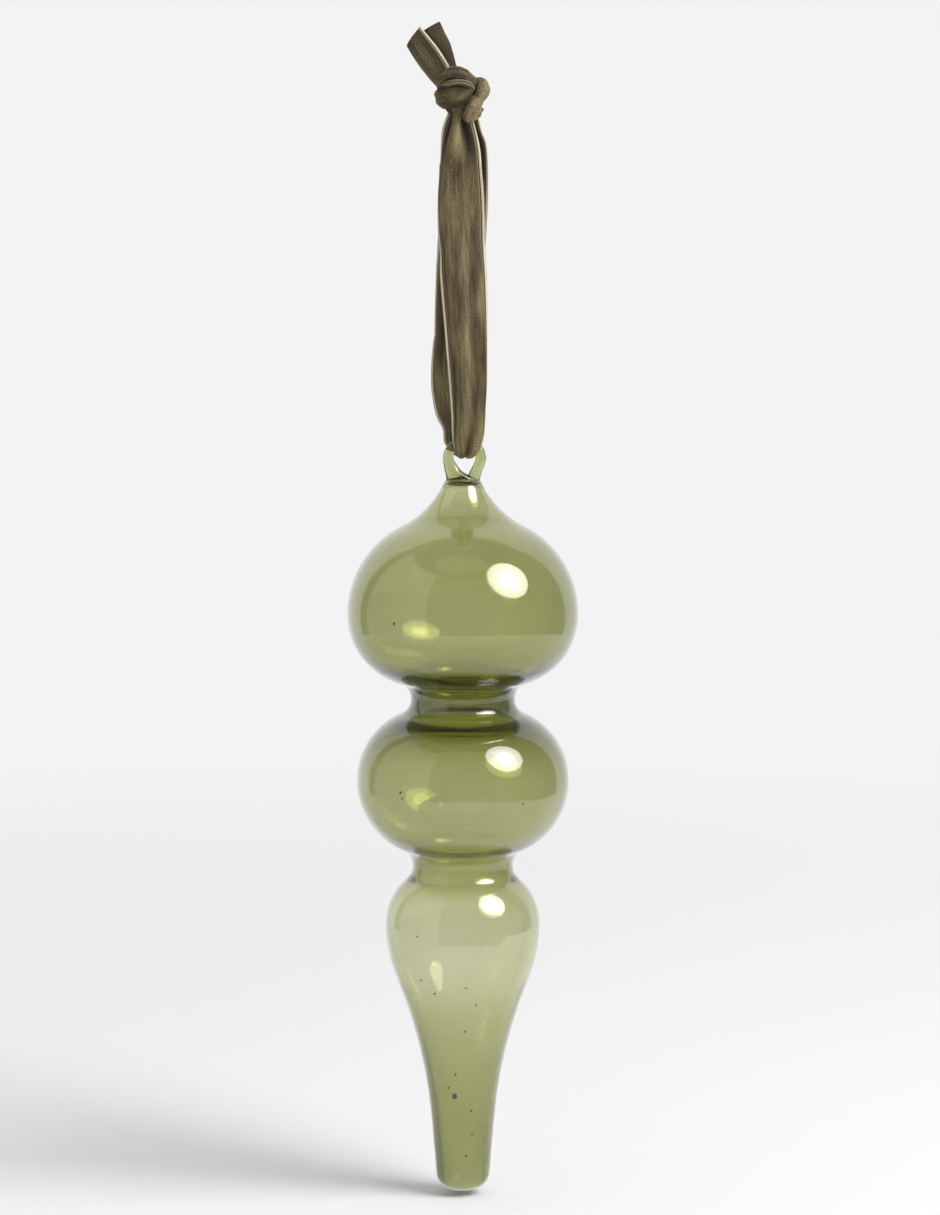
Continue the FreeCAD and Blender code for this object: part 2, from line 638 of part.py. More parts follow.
def turn_sections(rows):
    """Ovals square to the turn's path, their thin way pointing out of the knot."""
    knot = size("knot_size")
    middles = [Vector(right, -front, up) * knot for right, front, up, _, _ in rows]
    heart = Vector(-0.06, 0, 0.48) * knot
    sections = []
    for number, (_, _, _, half_width, half_thickness) in enumerate(rows):
        before = middles[max(number - 1, 0)]
        after = middles[min(number + 1, len(rows) - 1)]
        along = (after - before).normalize()
        out_of_knot = middles[number] - heart
        across = along.cross(out_of_knot).normalize()
        outward = across.cross(along).normalize()
        sections.append(oval_section(
            middles[number], across, outward, half_width * knot, half_thickness * knot))
    return sections


def core_sections(rows):
    """Level ovals for the heart of the knot."""
    knot = size("knot_size")
    return [
        oval_section(Vector(right, -front, up) * knot, RIGHT, FRONT, half_width * knot, half_depth * knot)
        for right, front, up, half_width, half_depth in rows]


turns = []
for name, rows in KNOT_TURNS.items():
    if name == "knot_core":
        turns.append(add_solid(name, core_sections(rows)))
    else:
        turns.append(add_solid(name, turn_sections(rows)))

# The two tails leave the knot's upper left. Each row: share of the tail's length, side
# step and forward step as shares of the ribbon's width, gather, bend in degrees, and how
# far the section is turned from square, in degrees.
TAIL_START = Vector(-0.33, 0, 0.8)
FRONT_TAIL_ROWS = [
    (0.0, -0.02, 0.12, 0.55, 150, 0),
    (0.3, -0.02, 0.24, 0.85, 215, 0),
    (0.65, 0.0, 0.27, 0.95, 235, 0),
    (1.0, 0.02, 0.25, 1.0, 240, 8),
]
BACK_TAIL_ROWS = [
    (0.0, 0.05, 0.0, 0.45, 60, 0),
    (0.35, 0.1, -0.04, 0.75, 120, 0),
    (0.7, 0.15, -0.06, 0.95, 170, -5),
    (1.0, 0.21, -0.06, 1.0, 185, -8),
]


def tail_sections(rows, length):
    """Sections along a tail that leans to the left."""
    start = TAIL_START * size("knot_size")
    lean = math.radians(size("tail_lean"))
    tilt = math.radians(size("tail_tilt"))
    rising = UP * math.cos(lean) - RIGHT * math.sin(lean)
    along = rising * math.cos(tilt) - FRONT * math.sin(tilt)
    outward = FRONT * math.cos(tilt) + rising * math.sin(tilt)
    sections = []
    for share, side, forward, gather, sweep, skew in rows:
        middle = start + along * (share * length)
        square = RIGHT * math.cos(lean) + UP * math.sin(lean)
        middle = middle + square * (side * wide) + outward * (forward * wide)
        turned = math.radians(skew)
        across = square * math.cos(turned) + along * math.sin(turned)
        sections.append(strip_section(middle, across, outward, gather * wide, thick / gather, sweep))
    return sections


front_tail = add_solid("front_tail_strip", tail_sections(FRONT_TAIL_ROWS, size("front_tail")))
back_tail = add_solid("back_tail_strip", tail_sections(BACK_TAIL_ROWS, size("back_tail")))

# One length of ribbon: its pieces are joined one after the other
ribbon = strand
for number, piece in enumerate(turns + [front_tail, back_tail], start=1):
    joined = doc.addObject("Part::Fuse", f"ribbon_joined_{number}")
    joined.Base = ribbon
    joined.Tool = piece
    joined.Refine = False
    ribbon = joined
ribbon.Label = "velvet_ribbon"
doc.recompute()


# Checks, then the files

def check_document():
    """Stop if anything failed to build, leaks, or is more than one solid."""
    for item in doc.Objects:
        if "Invalid" in item.State or "Error" in item.State:
            raise RuntimeError(f"{item.Label} did not build: {item.State}")
    for item in (glass, ribbon):
        if item.Shape.isNull() or not item.Shape.isValid() or len(item.Shape.Solids) != 1:
            raise RuntimeError(f"{item.Label} is not one valid solid")
    if hollow.Shape.Volume >= solid_volume:
        raise RuntimeError("the hollow cut nothing out of the glass")


check_document()
os.makedirs("parts", exist_ok=True)
for item in (glass, ribbon):
    item.Shape.exportStep(f"parts/{item.Label}.step")
    box = item.Shape.BoundBox
    print(f"{item.Label}: volume {item.Shape.Volume:.0f} mm3, z {box.ZMin:.1f} to {box.ZMax:.1f}")
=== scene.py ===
# %% [markdown]
# # A blown glass finial on a velvet ribbon
# The ornament is a hollow finial of olive green glass with a glass loop, hung from a knotted
# length of velvet ribbon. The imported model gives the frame: its origin is the hang point
# inside the ribbon's loop, Z is up, and the front faces -Y. All sizes in the cells are written
# in millimetres and turned into metres where the meshes are made.

# %% Load the frame
from math import atan2, ceil, cos, dist, hypot, pi, radians, sin, sqrt, tan

import bmesh
import bpy
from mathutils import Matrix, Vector, noise


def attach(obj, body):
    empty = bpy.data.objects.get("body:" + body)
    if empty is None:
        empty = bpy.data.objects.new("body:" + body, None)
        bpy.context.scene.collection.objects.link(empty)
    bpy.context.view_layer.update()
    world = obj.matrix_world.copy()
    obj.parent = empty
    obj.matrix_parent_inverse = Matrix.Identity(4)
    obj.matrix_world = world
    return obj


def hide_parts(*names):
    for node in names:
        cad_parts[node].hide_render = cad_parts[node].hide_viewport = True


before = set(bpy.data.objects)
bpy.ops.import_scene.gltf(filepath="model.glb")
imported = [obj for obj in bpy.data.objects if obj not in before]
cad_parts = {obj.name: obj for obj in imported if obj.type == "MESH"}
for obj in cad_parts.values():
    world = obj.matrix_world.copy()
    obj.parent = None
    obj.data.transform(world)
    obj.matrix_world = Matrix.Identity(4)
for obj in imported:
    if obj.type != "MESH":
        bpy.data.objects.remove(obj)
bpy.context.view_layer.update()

MM = 0.001
scene = bpy.context.scene
print("nodes:", sorted(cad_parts))

# %% [markdown]
# ## Small helpers
# Every material and Geometry Nodes tree here is built node by node. One function adds a node,
# sets it up and fills or links its inputs. Another turns a hex colour, as a paint chart gives
# it, into the renderer's linear values. Two more start a material and add an object.

# %% Helpers
def add_node(tree, kind, inputs=(), **settings):
    """Add one node: a shader node by its short name, another kind by its full name.

    A second word in kind is the node's operation. The inputs come in order or by name, and each
    is a value, a socket or a node."""
    kind, *operation = kind.split()
    made = tree.nodes.new(kind if "Node" in kind else "ShaderNode" + kind)
    if operation:
        made.operation = operation[0]
    for name, value in settings.items():
        setattr(made, name, value)
    for key, value in inputs.items() if isinstance(inputs, dict) else enumerate(inputs):
        if isinstance(value, bpy.types.Node):
            value = value.outputs[0]
        if isinstance(value, bpy.types.NodeSocket):
            tree.links.new(value, made.inputs[key])
        else:
            made.inputs[key].default_value = value
    return made


def linear(hex_colour):
    """An sRGB hex colour as linear red, green, blue and alpha."""
    values = [int(hex_colour[start:start + 2], 16) / 255 for start in (1, 3, 5)]
    return (*(v / 12.92 if v <= 0.04045 else ((v + 0.055) / 1.055) ** 2.4 for v in values), 1.0)


def new_material(name):
    """A material and its empty tree."""
    material = bpy.data.materials.new(name)
    material.use_nodes = True
    material.node_tree.nodes.clear()
    return material, material.node_tree


def add_object(name, data):
    """A new object, linked to the scene."""
    made = bpy.data.objects.new(name, data)
    scene.collection.objects.link(made)
    return made


print("middle grey is", linear("#808080"))

# %% [markdown]
# ## The camera
# The photograph was taken with a long lens from about 1.8 m away, a little above the glass and
# looking down on it. A long lens keeps the outline of the bulbs nearly parallel, so the camera
# is placed by distance first and its focal length follows from the frame.

# %% Camera
IMAGE_WIDTH = 940
FOCAL_PIXELS = 5383.6
CAMERA_PLACE = (0.0024, -1.78, 0.06607)
LOOKS_DOWN = 7.3
camera_data = bpy.data.cameras.new("camera")
camera_data.sensor_fit = "HORIZONTAL"
camera_data.sensor_width = 36.0
camera_data.lens = FOCAL_PIXELS * camera_data.sensor_width / IMAGE_WIDTH
camera_data.clip_end = 100.0
camera = add_object("camera", camera_data)
camera.location = CAMERA_PLACE
camera.rotation_euler = (radians(90.0 - LOOKS_DOWN), 0.0, 0.0)
scene.camera = camera
scene.view_settings.view_transform = "Standard"
print(f"lens {camera_data.lens:.1f} mm")

# %% [markdown]
# ## The room
# Clear glass shows little of itself: what the eye reads is the room, mirrored and bent. In the
# studio a white sweep stands behind the ornament, the table in front is white, and the rest of
# the room is dim, with a paler wall on the left. So the world answers each kind of ray with what
# it should find: plain white for the camera, an even grey level that lights cloth and floor,
# and the dim room with its white sweep for reflections and for light bent through the glass.

# %% World
# Soft edges: where the light is 0 and where it is 1
SWEEP_SIDES = (radians(60), radians(55))
SWEEP_TOP = (0.07, 0.0)
WALL_RIGHT = (radians(-68), radians(-70))
WALL_LEFT = (radians(-143), radians(-141))
WALL_TOP = (0.82, 0.80)
SWEEP_SLOPE = 2.3
TABLE_EDGE = -0.31
DIM_LEVEL, WALL_MORE = 0.5, 0.5
FILL_LEVEL, CAMERA_LEVEL, TABLE_LEVEL = 0.66, 0.93, 1.2
SWEEP_BENT, SWEEP_MIRRORED = 0.95, 1.12
world = bpy.data.worlds.new("studio")
scene.world = world
world.use_nodes = True
room = world.node_tree
room.nodes.clear()
ray = add_node(room, "LightPath").outputs
direction = add_node(room, "TexCoord").outputs["Generated"]
right, back, up = add_node(room, "SeparateXYZ", [direction]).outputs


def lit_area(*edges):
    """1 inside all the soft edges, each given with the value that it bounds."""
    level = 1.0
    for value, edge in edges:
        mask = add_node(room, "MapRange", [value, *edge], interpolation_type="SMOOTHSTEP")
        level = add_node(room, "Math MULTIPLY", [level, mask])
    return level


# The sweep fills the space behind, to about 57 degrees either side, up to a straight top edge.
# It is lit so brightly that its mirror image is whiter than the picture's white
bearing = add_node(room, "Math ARCTAN2", [right, back])
sideways = add_node(room, "Math ABSOLUTE", [bearing])
over_top = add_node(room, "Math MULTIPLY_ADD", [back, -SWEEP_SLOPE, up])
sweep = lit_area((sideways, SWEEP_SIDES), (over_top, SWEEP_TOP))
brightness = add_node(room, "Mix", {0: ray["Is Glossy Ray"], 2: SWEEP_BENT, 3: SWEEP_MIRRORED})
sweep = add_node(room, "Math MULTIPLY", [sweep, brightness])
# The paler wall on the left, and in front the white table, from 18 degrees below level
wall = lit_area((bearing, WALL_RIGHT), (bearing, WALL_LEFT), (up, WALL_TOP))
wall = add_node(room, "Math MULTIPLY_ADD", [wall, WALL_MORE, DIM_LEVEL])
below = add_node(room, "Math LESS_THAN", [up, TABLE_EDGE])
below = add_node(room, "Math MULTIPLY", [below, TABLE_LEVEL])
mirrored = add_node(room, "Math MAXIMUM", [wall, sweep])
mirrored = add_node(room, "Math MAXIMUM", [mirrored, below])
bent = add_node(room, "Math MAXIMUM", [ray["Is Glossy Ray"], ray["Is Transmission Ray"]])
level = add_node(room, "Mix", {0: bent, 2: FILL_LEVEL, 3: mirrored})
level = add_node(room, "Mix", {0: ray["Is Camera Ray"], 2: level, 3: CAMERA_LEVEL})
background = add_node(room, "Background", {"Strength": level})
add_node(room, "OutputWorld", [background])
print("world fill level", FILL_LEVEL)

# %% [markdown]
# ## The softbox
# One large round softbox stands in front, to the right and above. Its mirror image in each bulb
# gives its direction (60 degrees round, 42 degrees up) and its size (it looks 39 degrees wide).
# Its cloth is brighter towards the middle: one lamp lights ribbon and table, and four discs,
# each a hair nearer than the one before, are there for mirror images alone.

# %% Softbox
SOFTBOX_DISTANCE = 2.2
LIT_POINT = Vector((0.0, 0.0, -0.2))
bearing, lift = radians(60.5), radians(42.0)
towards_light = Vector((sin(bearing) * cos(lift), -cos(bearing) * cos(lift),
                        sin(lift)))
# Each lamp: name, watts, half of the angle it covers in degrees, and how much nearer in metres
LAMPS = [
    ("softbox", 45.0, 19.3, 0.0), ("softbox_rim", 30.0, 19.3, 0.01),
    ("softbox_middle", 4.0, 17.3, 0.02), ("softbox_inner", 4.0, 13.5, 0.03),
    ("softbox_centre", 8.0, 9.0, 0.04),
]
for name, watts, half_angle, nearer in LAMPS:
    data = bpy.data.lights.new(name, "AREA")
    data.shape = "DISK"
    data.size = 2 * SOFTBOX_DISTANCE * tan(radians(half_angle))
    data.energy = watts
    lamp = add_object(name, data)
    lamp.location = LIT_POINT + towards_light * (SOFTBOX_DISTANCE - nearer)
    lamp.rotation_euler = towards_light.to_track_quat("Z", "Y").to_euler()
    lamp.visible_diffuse = name == "softbox"
    lamp.visible_glossy = lamp.visible_transmission = name != "softbox"
print(len(LAMPS), "lamps", SOFTBOX_DISTANCE, "m away")

# %% [markdown]
# ## The table
# The tip hangs a hair above a white table. Close by, the table is a plain matt surface that
# takes the soft shadow. Further away the camera sees it fade into white paper. The real table
# top is small, so mirror images see past its front edge and its sides. Right under the tip a
# painted pool of light glows on the paper, seen only in mirror images and through the glass,
# in place of the softbox's light that the tip gathers there.

# %% Table
TABLE_HEIGHT = -361.5 * MM
TABLE_REACH = 30.0
FADE = (0.3, 1.1)
# Painted pool of light under the tip: full within 6 mm, gone at 30 mm, 0.75 at most
PAINTED_LIGHT_POOL = (0.006, 0.03, 0.75, 0.0)
TOP_FRONT, TOP_HALF_WIDTH, TOP_SPREAD = -0.17, 0.48, 0.18
table_mesh = bpy.data.meshes.new("table")
corners = [(x * TABLE_REACH, y * TABLE_REACH, TABLE_HEIGHT)
           for x, y in ((-1, -1), (1, -1), (1, 1), (-1, 1))]
table_mesh.from_pydata(corners, [], [(0, 1, 2, 3)])
table = add_object("table", table_mesh)
paper, tree = new_material("white_paper_matt")
place = add_node(tree, "TexCoord").outputs["Object"]
right, back, _ = add_node(tree, "SeparateXYZ", [place]).outputs
ray = add_node(tree, "LightPath").outputs
bent = add_node(tree, "Math MAXIMUM", [ray["Is Glossy Ray"], ray["Is Transmission Ray"]])
seen = add_node(tree, "Math MAXIMUM", [ray["Is Camera Ray"], bent])
away = add_node(tree, "VectorMath LENGTH", [place]).outputs["Value"]
far = add_node(tree, "MapRange", [away, *FADE], interpolation_type="SMOOTHSTEP")
white = add_node(tree, "Math MULTIPLY", [far, seen])
# Painted pool of light: right under the tip the paper glows for mirrored and bent rays
from_tip = add_node(tree, "VectorMath DISTANCE", [place, (0.0, 0.0, TABLE_HEIGHT)]).outputs["Value"]
spot = add_node(tree, "MapRange", [from_tip, *PAINTED_LIGHT_POOL], interpolation_type="SMOOTHSTEP")
spot = add_node(tree, "Math MULTIPLY", [spot, bent])
white = add_node(tree, "Math MAXIMUM", [white, spot])
# Matt paper: no mirror image of its own, only light and shade
matt = add_node(tree, "BsdfPrincipled",
                {"Base Color": linear("#f4f3f4"), "Roughness": 0.9, "Specular IOR Level": 0.2})
glow = add_node(tree, "Emission", {"Color": linear("#f3f3f3"), "Strength": 1.0})
mixed = add_node(tree, "MixShader", [white, matt, glow])
aside = add_node(tree, "Math ABSOLUTE", [right])
half_top = add_node(tree, "Math MULTIPLY_ADD", [back, TOP_SPREAD, TOP_HALF_WIDTH])
beside = add_node(tree, "Math GREATER_THAN", [aside, half_top])
before = add_node(tree, "Math LESS_THAN", [back, TOP_FRONT])
past_top = add_node(tree, "Math MAXIMUM", [beside, before])
unseen = add_node(tree, "Math MULTIPLY", [past_top, bent])
through = add_node(tree, "BsdfTransparent")
table_top = add_node(tree, "MixShader", [unseen, mixed, through])
add_node(tree, "OutputMaterial", [table_top])
table_mesh.materials.append(paper)
print("table at", TABLE_HEIGHT)

# %% [markdown]
# ## The outline of the glass
# A glassblower shapes the finial by turning it, so its outline is a chain of round curves that
# run into each other: outward on the bulbs, inward at the necks, and one long inward curve down
# the stem. Each bulb's widest ring and each neck's narrowest ring are given, and the curve that
# joins them follows from the condition that both rings have an upright tangent.

# %% Outline of blown glass
HOOP_CENTRE = -112.1
SIZES_OUTSIDE = {
    "crown": (6.0, -119.55, 20.0), "shoulder": (31.0, 32.9),
    "rings": [(38.6, -164.15), (17.4, -192.65), (35.5, -220.05), (16.8, -249.05), (25.9, -268.85)],
    "inward": [6.0, 5.6, 6.2, 6.0], "last_bulge": 48.0, "stem": (10.05, -348.75, -335.05),
    "tip": (-360.25, 5.5, 14.0),
}
SIZES_HOLLOW = {
    "crown": (5.5, -121.0, 17.0), "shoulder": (32.1, 32.2),
    "rings": [(36.75, -164.45), (13.3, -192.65), (33.8, -220.55), (14.5, -249.05), (25.0, -268.85)],
    "inward": [8.5, 9.2, 8.0, 6.3], "last_bulge": 47.1, "stem": (7.7, -348.75, -335.05),
    "tip": (-359.0, 3.9, 11.6),
}
TURN_STEP = radians(3.5)


def arc(centre, start, end):
    """Points along the shorter arc from start to end, without the last one."""
    first = atan2(start.y - centre.y, start.x - centre.x)
    last = atan2(end.y - centre.y, end.x - centre.x)
    turn = (last - first + pi) % (2 * pi) - pi
    steps = max(4, ceil(abs(turn) / TURN_STEP))
    radius = (start - centre).length
    angles = [first + turn * step / steps for step in range(steps)]
    return [centre + Vector((cos(angle), sin(angle))) * radius for angle in angles]


def toward(start, end, distance):
    return start + (end - start).normalized() * distance


def s_curve(first_centre, start, second_centre, end):
    """Points along two arcs that run into each other, without the last one."""
    touch = toward(first_centre, second_centre, (start - first_centre).length)
    return arc(first_centre, start, touch) + arc(second_centre, touch, end)


def outline(sizes):
    """Points (radius, height) from the top of the crown to the bottom of the tip."""
    rim_radius, rim_height, dome = sizes["crown"]
    flare, bulge = sizes["shoulder"]
    rim = Vector((rim_radius, rim_height))
    rings = [Vector(ring) for ring in sizes["rings"]]
    dome_centre = Vector((0.0, rim.y - sqrt(dome ** 2 - rim.x ** 2)))
    points = arc(dome_centre, dome_centre + Vector((0.0, dome)), rim)
    bulge_centre = rings[0] - Vector((bulge, 0.0))
    spoke = rim - bulge_centre
    reach = bulge + flare
    along = (spoke.length_squared + reach ** 2 - flare ** 2) / (2 * spoke.length)
    up = spoke.normalized()
    aside = sqrt(reach ** 2 - along ** 2)
    flare_centre = bulge_centre + up * along + Vector((up.y, -up.x)) * aside
    points += s_curve(flare_centre, rim, bulge_centre, rings[0])
    for here, after, inward in zip(rings, rings[1:], sizes["inward"]):
        wide, narrow = (here, after) if here.x > after.x else (after, here)
        gap = wide.x - narrow.x
        outward = ((inward - gap) ** 2 + (wide.y - narrow.y) ** 2 - inward ** 2) / (2 * gap)
        ends = [(wide - Vector((outward, 0.0)), wide), (narrow + Vector((inward, 0.0)), narrow)]
        first, second = ends if wide is here else ends[::-1]
        points += s_curve(*first, *second)
    last_bulge = sizes["last_bulge"]
    stem_radius, stem_height, curve_end_height = sizes["stem"]
    tip_height, corner, tip_dome = sizes["tip"]
    last = rings[-1]
    drop = last.y - stem_height
    gap = last.x - stem_radius
    stem_curve = ((last_bulge - gap) ** 2 + drop ** 2 - last_bulge ** 2) / (2 * gap)
    stem_centre = Vector((stem_radius + stem_curve, stem_height))
    lean = sqrt(stem_curve ** 2 - (curve_end_height - stem_height) ** 2)
    curve_end = Vector((stem_centre.x - lean, curve_end_height))
    points += s_curve(last - Vector((last_bulge, 0.0)), last, stem_centre, curve_end)
    inward = (curve_end - stem_centre).normalized()
    down = Vector((-inward.y, inward.x))
    tip_centre = Vector((0.0, tip_height + tip_dome))
    start = curve_end + inward * corner - tip_centre
    along = start.dot(down)
    travel = -along + sqrt(along ** 2 - start.length_squared + (tip_dome - corner) ** 2)
    taper_end = curve_end + down * travel
    corner_centre = taper_end + inward * corner
    corner_end = toward(tip_centre, corner_centre, tip_dome)
    points += [curve_end.lerp(taper_end, step / 6) for step in range(6)]
    points += arc(corner_centre, taper_end, corner_end)
    points += arc(tip_centre, corner_end, Vector((0.0, tip_height))) + [Vector((0.0, tip_height))]
    return points


outside = outline(SIZES_OUTSIDE)
hollow = outline(SIZES_HOLLOW)
print("outline points:", len(outside), "outside,", len(hollow), "inside")

# %% [markdown]
# ## Turning the glass
# Both skins of the glass are surfaces of revolution, so one Geometry Nodes tree makes them: the
# outline becomes a straight path down the axis that carries a radius at each point, and Curve
# to Mesh draws a ring of that radius there. Blown glass is never quite even, so the inner skin
# is then moved in and out by about a tenth of a millimetre in soft waves.

# %% Turned skins
SEGMENTS = 144
DOUBLES = 1e-6
WAVE_LENGTH, WAVE_HEIGHT, EVEN_MIDDLE = 22 * MM, 0.14 * MM, 2 * MM


def geometry_tree(name, inputs, result):
    """A Geometry Nodes tree with inputs of those names and kinds, and what its input gives."""
    made = bpy.data.node_groups.new(name, "GeometryNodeTree")
    for label, kind in inputs.items():
        made.interface.new_socket(label, in_out="INPUT", socket_type="NodeSocket" + kind)
    made.interface.new_socket(result, in_out="OUTPUT", socket_type="NodeSocketGeometry")
    return made, add_node(made, "NodeGroupInput").outputs


def evaluated_mesh(source, name):
    """The object's evaluated mesh as plain data. The source object is removed."""
    graph = bpy.context.evaluated_depsgraph_get()
    mesh = bpy.data.meshes.new_from_object(source.evaluated_get(graph))
    mesh.name = name
    bpy.data.objects.remove(source)
    return mesh


def mesh_from_nodes(name, data, nodes, inputs):
    """The mesh that a tree makes of a curve or of marks, its inputs set by identifier."""
    source = add_object(name, data)
    modifier = source.modifiers.new(name, "NODES")
    modifier.node_group = nodes
    for item in nodes.interface.items_tree:
        if item.in_out == "INPUT" and item.name in inputs:
            modifier[item.identifier] = inputs[item.name]
    return evaluated_mesh(source, name)


turning, given = geometry_tree("turned_skin", {"Path": "Geometry", "Segments": "Int"}, "Skin")
ring = add_node(turning, "GeometryNodeCurvePrimitiveCircle",
                {"Resolution": given["Segments"], "Radius": 1.0})
radius = add_node(turning, "GeometryNodeInputRadius")
drawn = add_node(turning, "GeometryNodeCurveToMesh",
                 {"Curve": given["Path"], "Profile Curve": ring, "Scale": radius})
merged = add_node(turning, "GeometryNodeMergeByDistance", {"Geometry": drawn, "Distance": DOUBLES})
realized = add_node(turning, "GeometryNodeRealizeInstances", [merged])
add_node(turning, "NodeGroupOutput", [realized])


def smooth_mesh(work, name, inside_out=False):
    """The finished mesh, with all faces pointing outwards (or inwards)."""
    bmesh.ops.recalc_face_normals(work, faces=work.faces)
    if inside_out:
        bmesh.ops.reverse_faces(work, faces=work.faces)
    mesh = bpy.data.meshes.new(name)
    work.to_mesh(mesh)
    work.free()
    mesh.shade_smooth()
    return mesh


def turned_skin(name, points, inside_out=False):
    """A closed smooth skin turned from outline points in millimetres."""
    curve = bpy.data.curves.new(name, "CURVE")
    curve.dimensions = "3D"
    spline = curve.splines.new("POLY")
    spline.points.add(len(points) - 1)
    for point, target in zip(points, spline.points):
        target.co = (0.0, 0.0, point.y * MM, 1.0)
        target.radius = max(point.x, 0.0) * MM
    work = bmesh.new()
    work.from_mesh(mesh_from_nodes(name, curve, turning, {"Segments": SEGMENTS}))
    bmesh.ops.remove_doubles(work, verts=work.verts, dist=DOUBLES)
    return smooth_mesh(work, name, inside_out)


body_mesh = turned_skin("blown_outside", outside)
hollow_mesh = turned_skin("blown_inside", hollow, inside_out=True)
for vertex in hollow_mesh.vertices:
    flat = Vector((vertex.co.x, vertex.co.y, 0.0))
    if flat.length > EVEN_MIDDLE:
        vertex.co += flat.normalized() * (noise.noise(vertex.co / WAVE_LENGTH) * WAVE_HEIGHT)
print("outside", len(body_mesh.polygons), "faces, inside", len(hollow_mesh.polygons), "faces")

# %% [markdown]
# ## The hanging loop
# While the glass is still hot the maker drops a thin rod of soft glass on the crown, draws it
# up and over, and lays its end down beside the start. The start spreads into a wide web, and
# the end rests behind that web. So the loop is one rod drawn through a row of ovals, and a
# Boolean union melts it onto the crown.

# %% Hanging loop
LOOP_CENTRE = Vector((0.57, 0.0, HOOP_CENTRE))
LOOP_RADIUS = 5.4
ROD_RADIUS = 1.8
ROD_HALF_DEPTH = 1.5
RING_POINTS = 28
ROD_STEPS = 4
BACK = Vector((0.0, 1.0, 0.0))
# Level ovals: right, back, height, half width, half depth
WEB_ROWS = [
    (0, -0.3, -120.4, 5.6, 2.6), (-0.25, -0.3, -119.4, 5.3, 2.3), (-1.3, -0.25, -118, 4.3, 1.9),
    (-3.2, -0.15, -116.1, 2.85, 1.6), (-4.2, -0.05, -114, 2.2, 1.5),
]
FOOT_ROWS = [
    (5.35, 0.2, -114.2, 1.95, 1.5), (4.4, 0.6, -116.4, 2.1, 1.5), (3.7, 1, -118.4, 2.15, 1.6),
    (3.3, 1.4, -120.3, 2.3, 1.7),
]


def smooth_rows(rows, steps):
    """Rows of numbers with more rows between them, on a smooth curve through all."""
    result = []
    for number in range(len(rows) - 1):
        here, after = rows[number], rows[number + 1]
        before = rows[max(number - 1, 0)]
        beyond = rows[min(number + 2, len(rows) - 1)]
        for step in range(steps):
            t = step / steps
            result.append(tuple(
                0.5 * ((2 * b) + (c - a) * t + (2 * a - 5 * b + 4 * c - d) * t ** 2
                       + (3 * b - a - 3 * c + d) * t ** 3)
                for a, b, c, d in zip(before, here, after, beyond)))
    return result + [tuple(rows[-1])]


def oval(centre, across, half_width, half_depth):
    """A ring of points, in metres, from one side over the back to the other."""
    angles = [2 * pi * number / RING_POINTS for number in range(RING_POINTS)]
    return [(centre + across * (half_width * cos(angle))
             + BACK * (half_depth * sin(angle))) * MM for angle in angles]


def bridge(work, rings):
    """Add faces between each ring of vertices and the next."""
    for first, second in zip(rings, rings[1:]):
        for number in range(len(first)):
            after = (number + 1) % len(first)
            work.faces.new((first[number], first[after], second[after], second[number]))


def add_tube(work, rings):
    """Add a closed tube over rings of vertices."""
    bridge(work, rings)
    work.faces.new(rings[0])
    work.faces.new(rings[-1])


# All rows: right, back, height, how far the ring has turned over, half width, half depth
rod_rows = [(x, y, z, 0.0, wide, deep) for x, y, z, wide, deep in WEB_ROWS]
for turn in range(0, 181, 15):
    angle = radians(turn)
    rod_rows.append((LOOP_CENTRE.x - LOOP_RADIUS * cos(angle), 0.0,
                     LOOP_CENTRE.z + LOOP_RADIUS * sin(angle), angle,
                     ROD_RADIUS, ROD_HALF_DEPTH))
rod_rows += [(x, y, z, pi, wide, deep) for x, y, z, wide, deep in FOOT_ROWS]
work = bmesh.new()
rod_rings = []
for x, y, z, turned, wide, deep in smooth_rows(rod_rows, ROD_STEPS):
    across = Vector((-cos(turned), 0.0, sin(turned)))
    ring = oval(Vector((x, y, z)), across, wide, deep)
    rod_rings.append([work.verts.new(point) for point in ring])
add_tube(work, rod_rings)
rod = add_object("rod", smooth_mesh(work, "rod"))
body = add_object("body", body_mesh)
union = body.modifiers.new("melt", "BOOLEAN")
union.operation = "UNION"
union.solver = "MANIFOLD"
union.object = rod
melted = evaluated_mesh(body, "glass_finial_skin")
bpy.data.objects.remove(rod)
print("rod rings", len(rod_rings), "melted faces", len(melted.polygons))

# %% [markdown]
# ## The glass
# Both skins become one object. Soda-lime glass of this kind is coloured all through: its surface
# is clear, and its green grows deeper the longer the way of the light through it.

# %% Glass object
glass = add_object("glass_finial_skin", melted)
work = bmesh.new()
work.from_mesh(melted)
work.from_mesh(hollow_mesh)
work.to_mesh(melted)
work.free()
olive, tree = new_material("blown_soda_lime_glass_olive")
clear = add_node(tree, "BsdfPrincipled",
                 {"Base Color": (1, 1, 1, 1), "Roughness": 0.0, "IOR": 1.5,
                  "Transmission Weight": 1.0, "Coat Weight": 1.0, "Coat Roughness": 0.0,
                  "Coat IOR": 1.5})
tint = add_node(tree, "VolumeAbsorption", {"Color": (0.575, 0.6, 0.115, 1.0), "Density": 600.0})
add_node(tree, "OutputMaterial", {"Surface": clear, "Volume": tint})
melted.materials.clear()
melted.materials.append(olive)
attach(glass, "root")
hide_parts("glass_finial")
print("glass faces", len(melted.polygons))
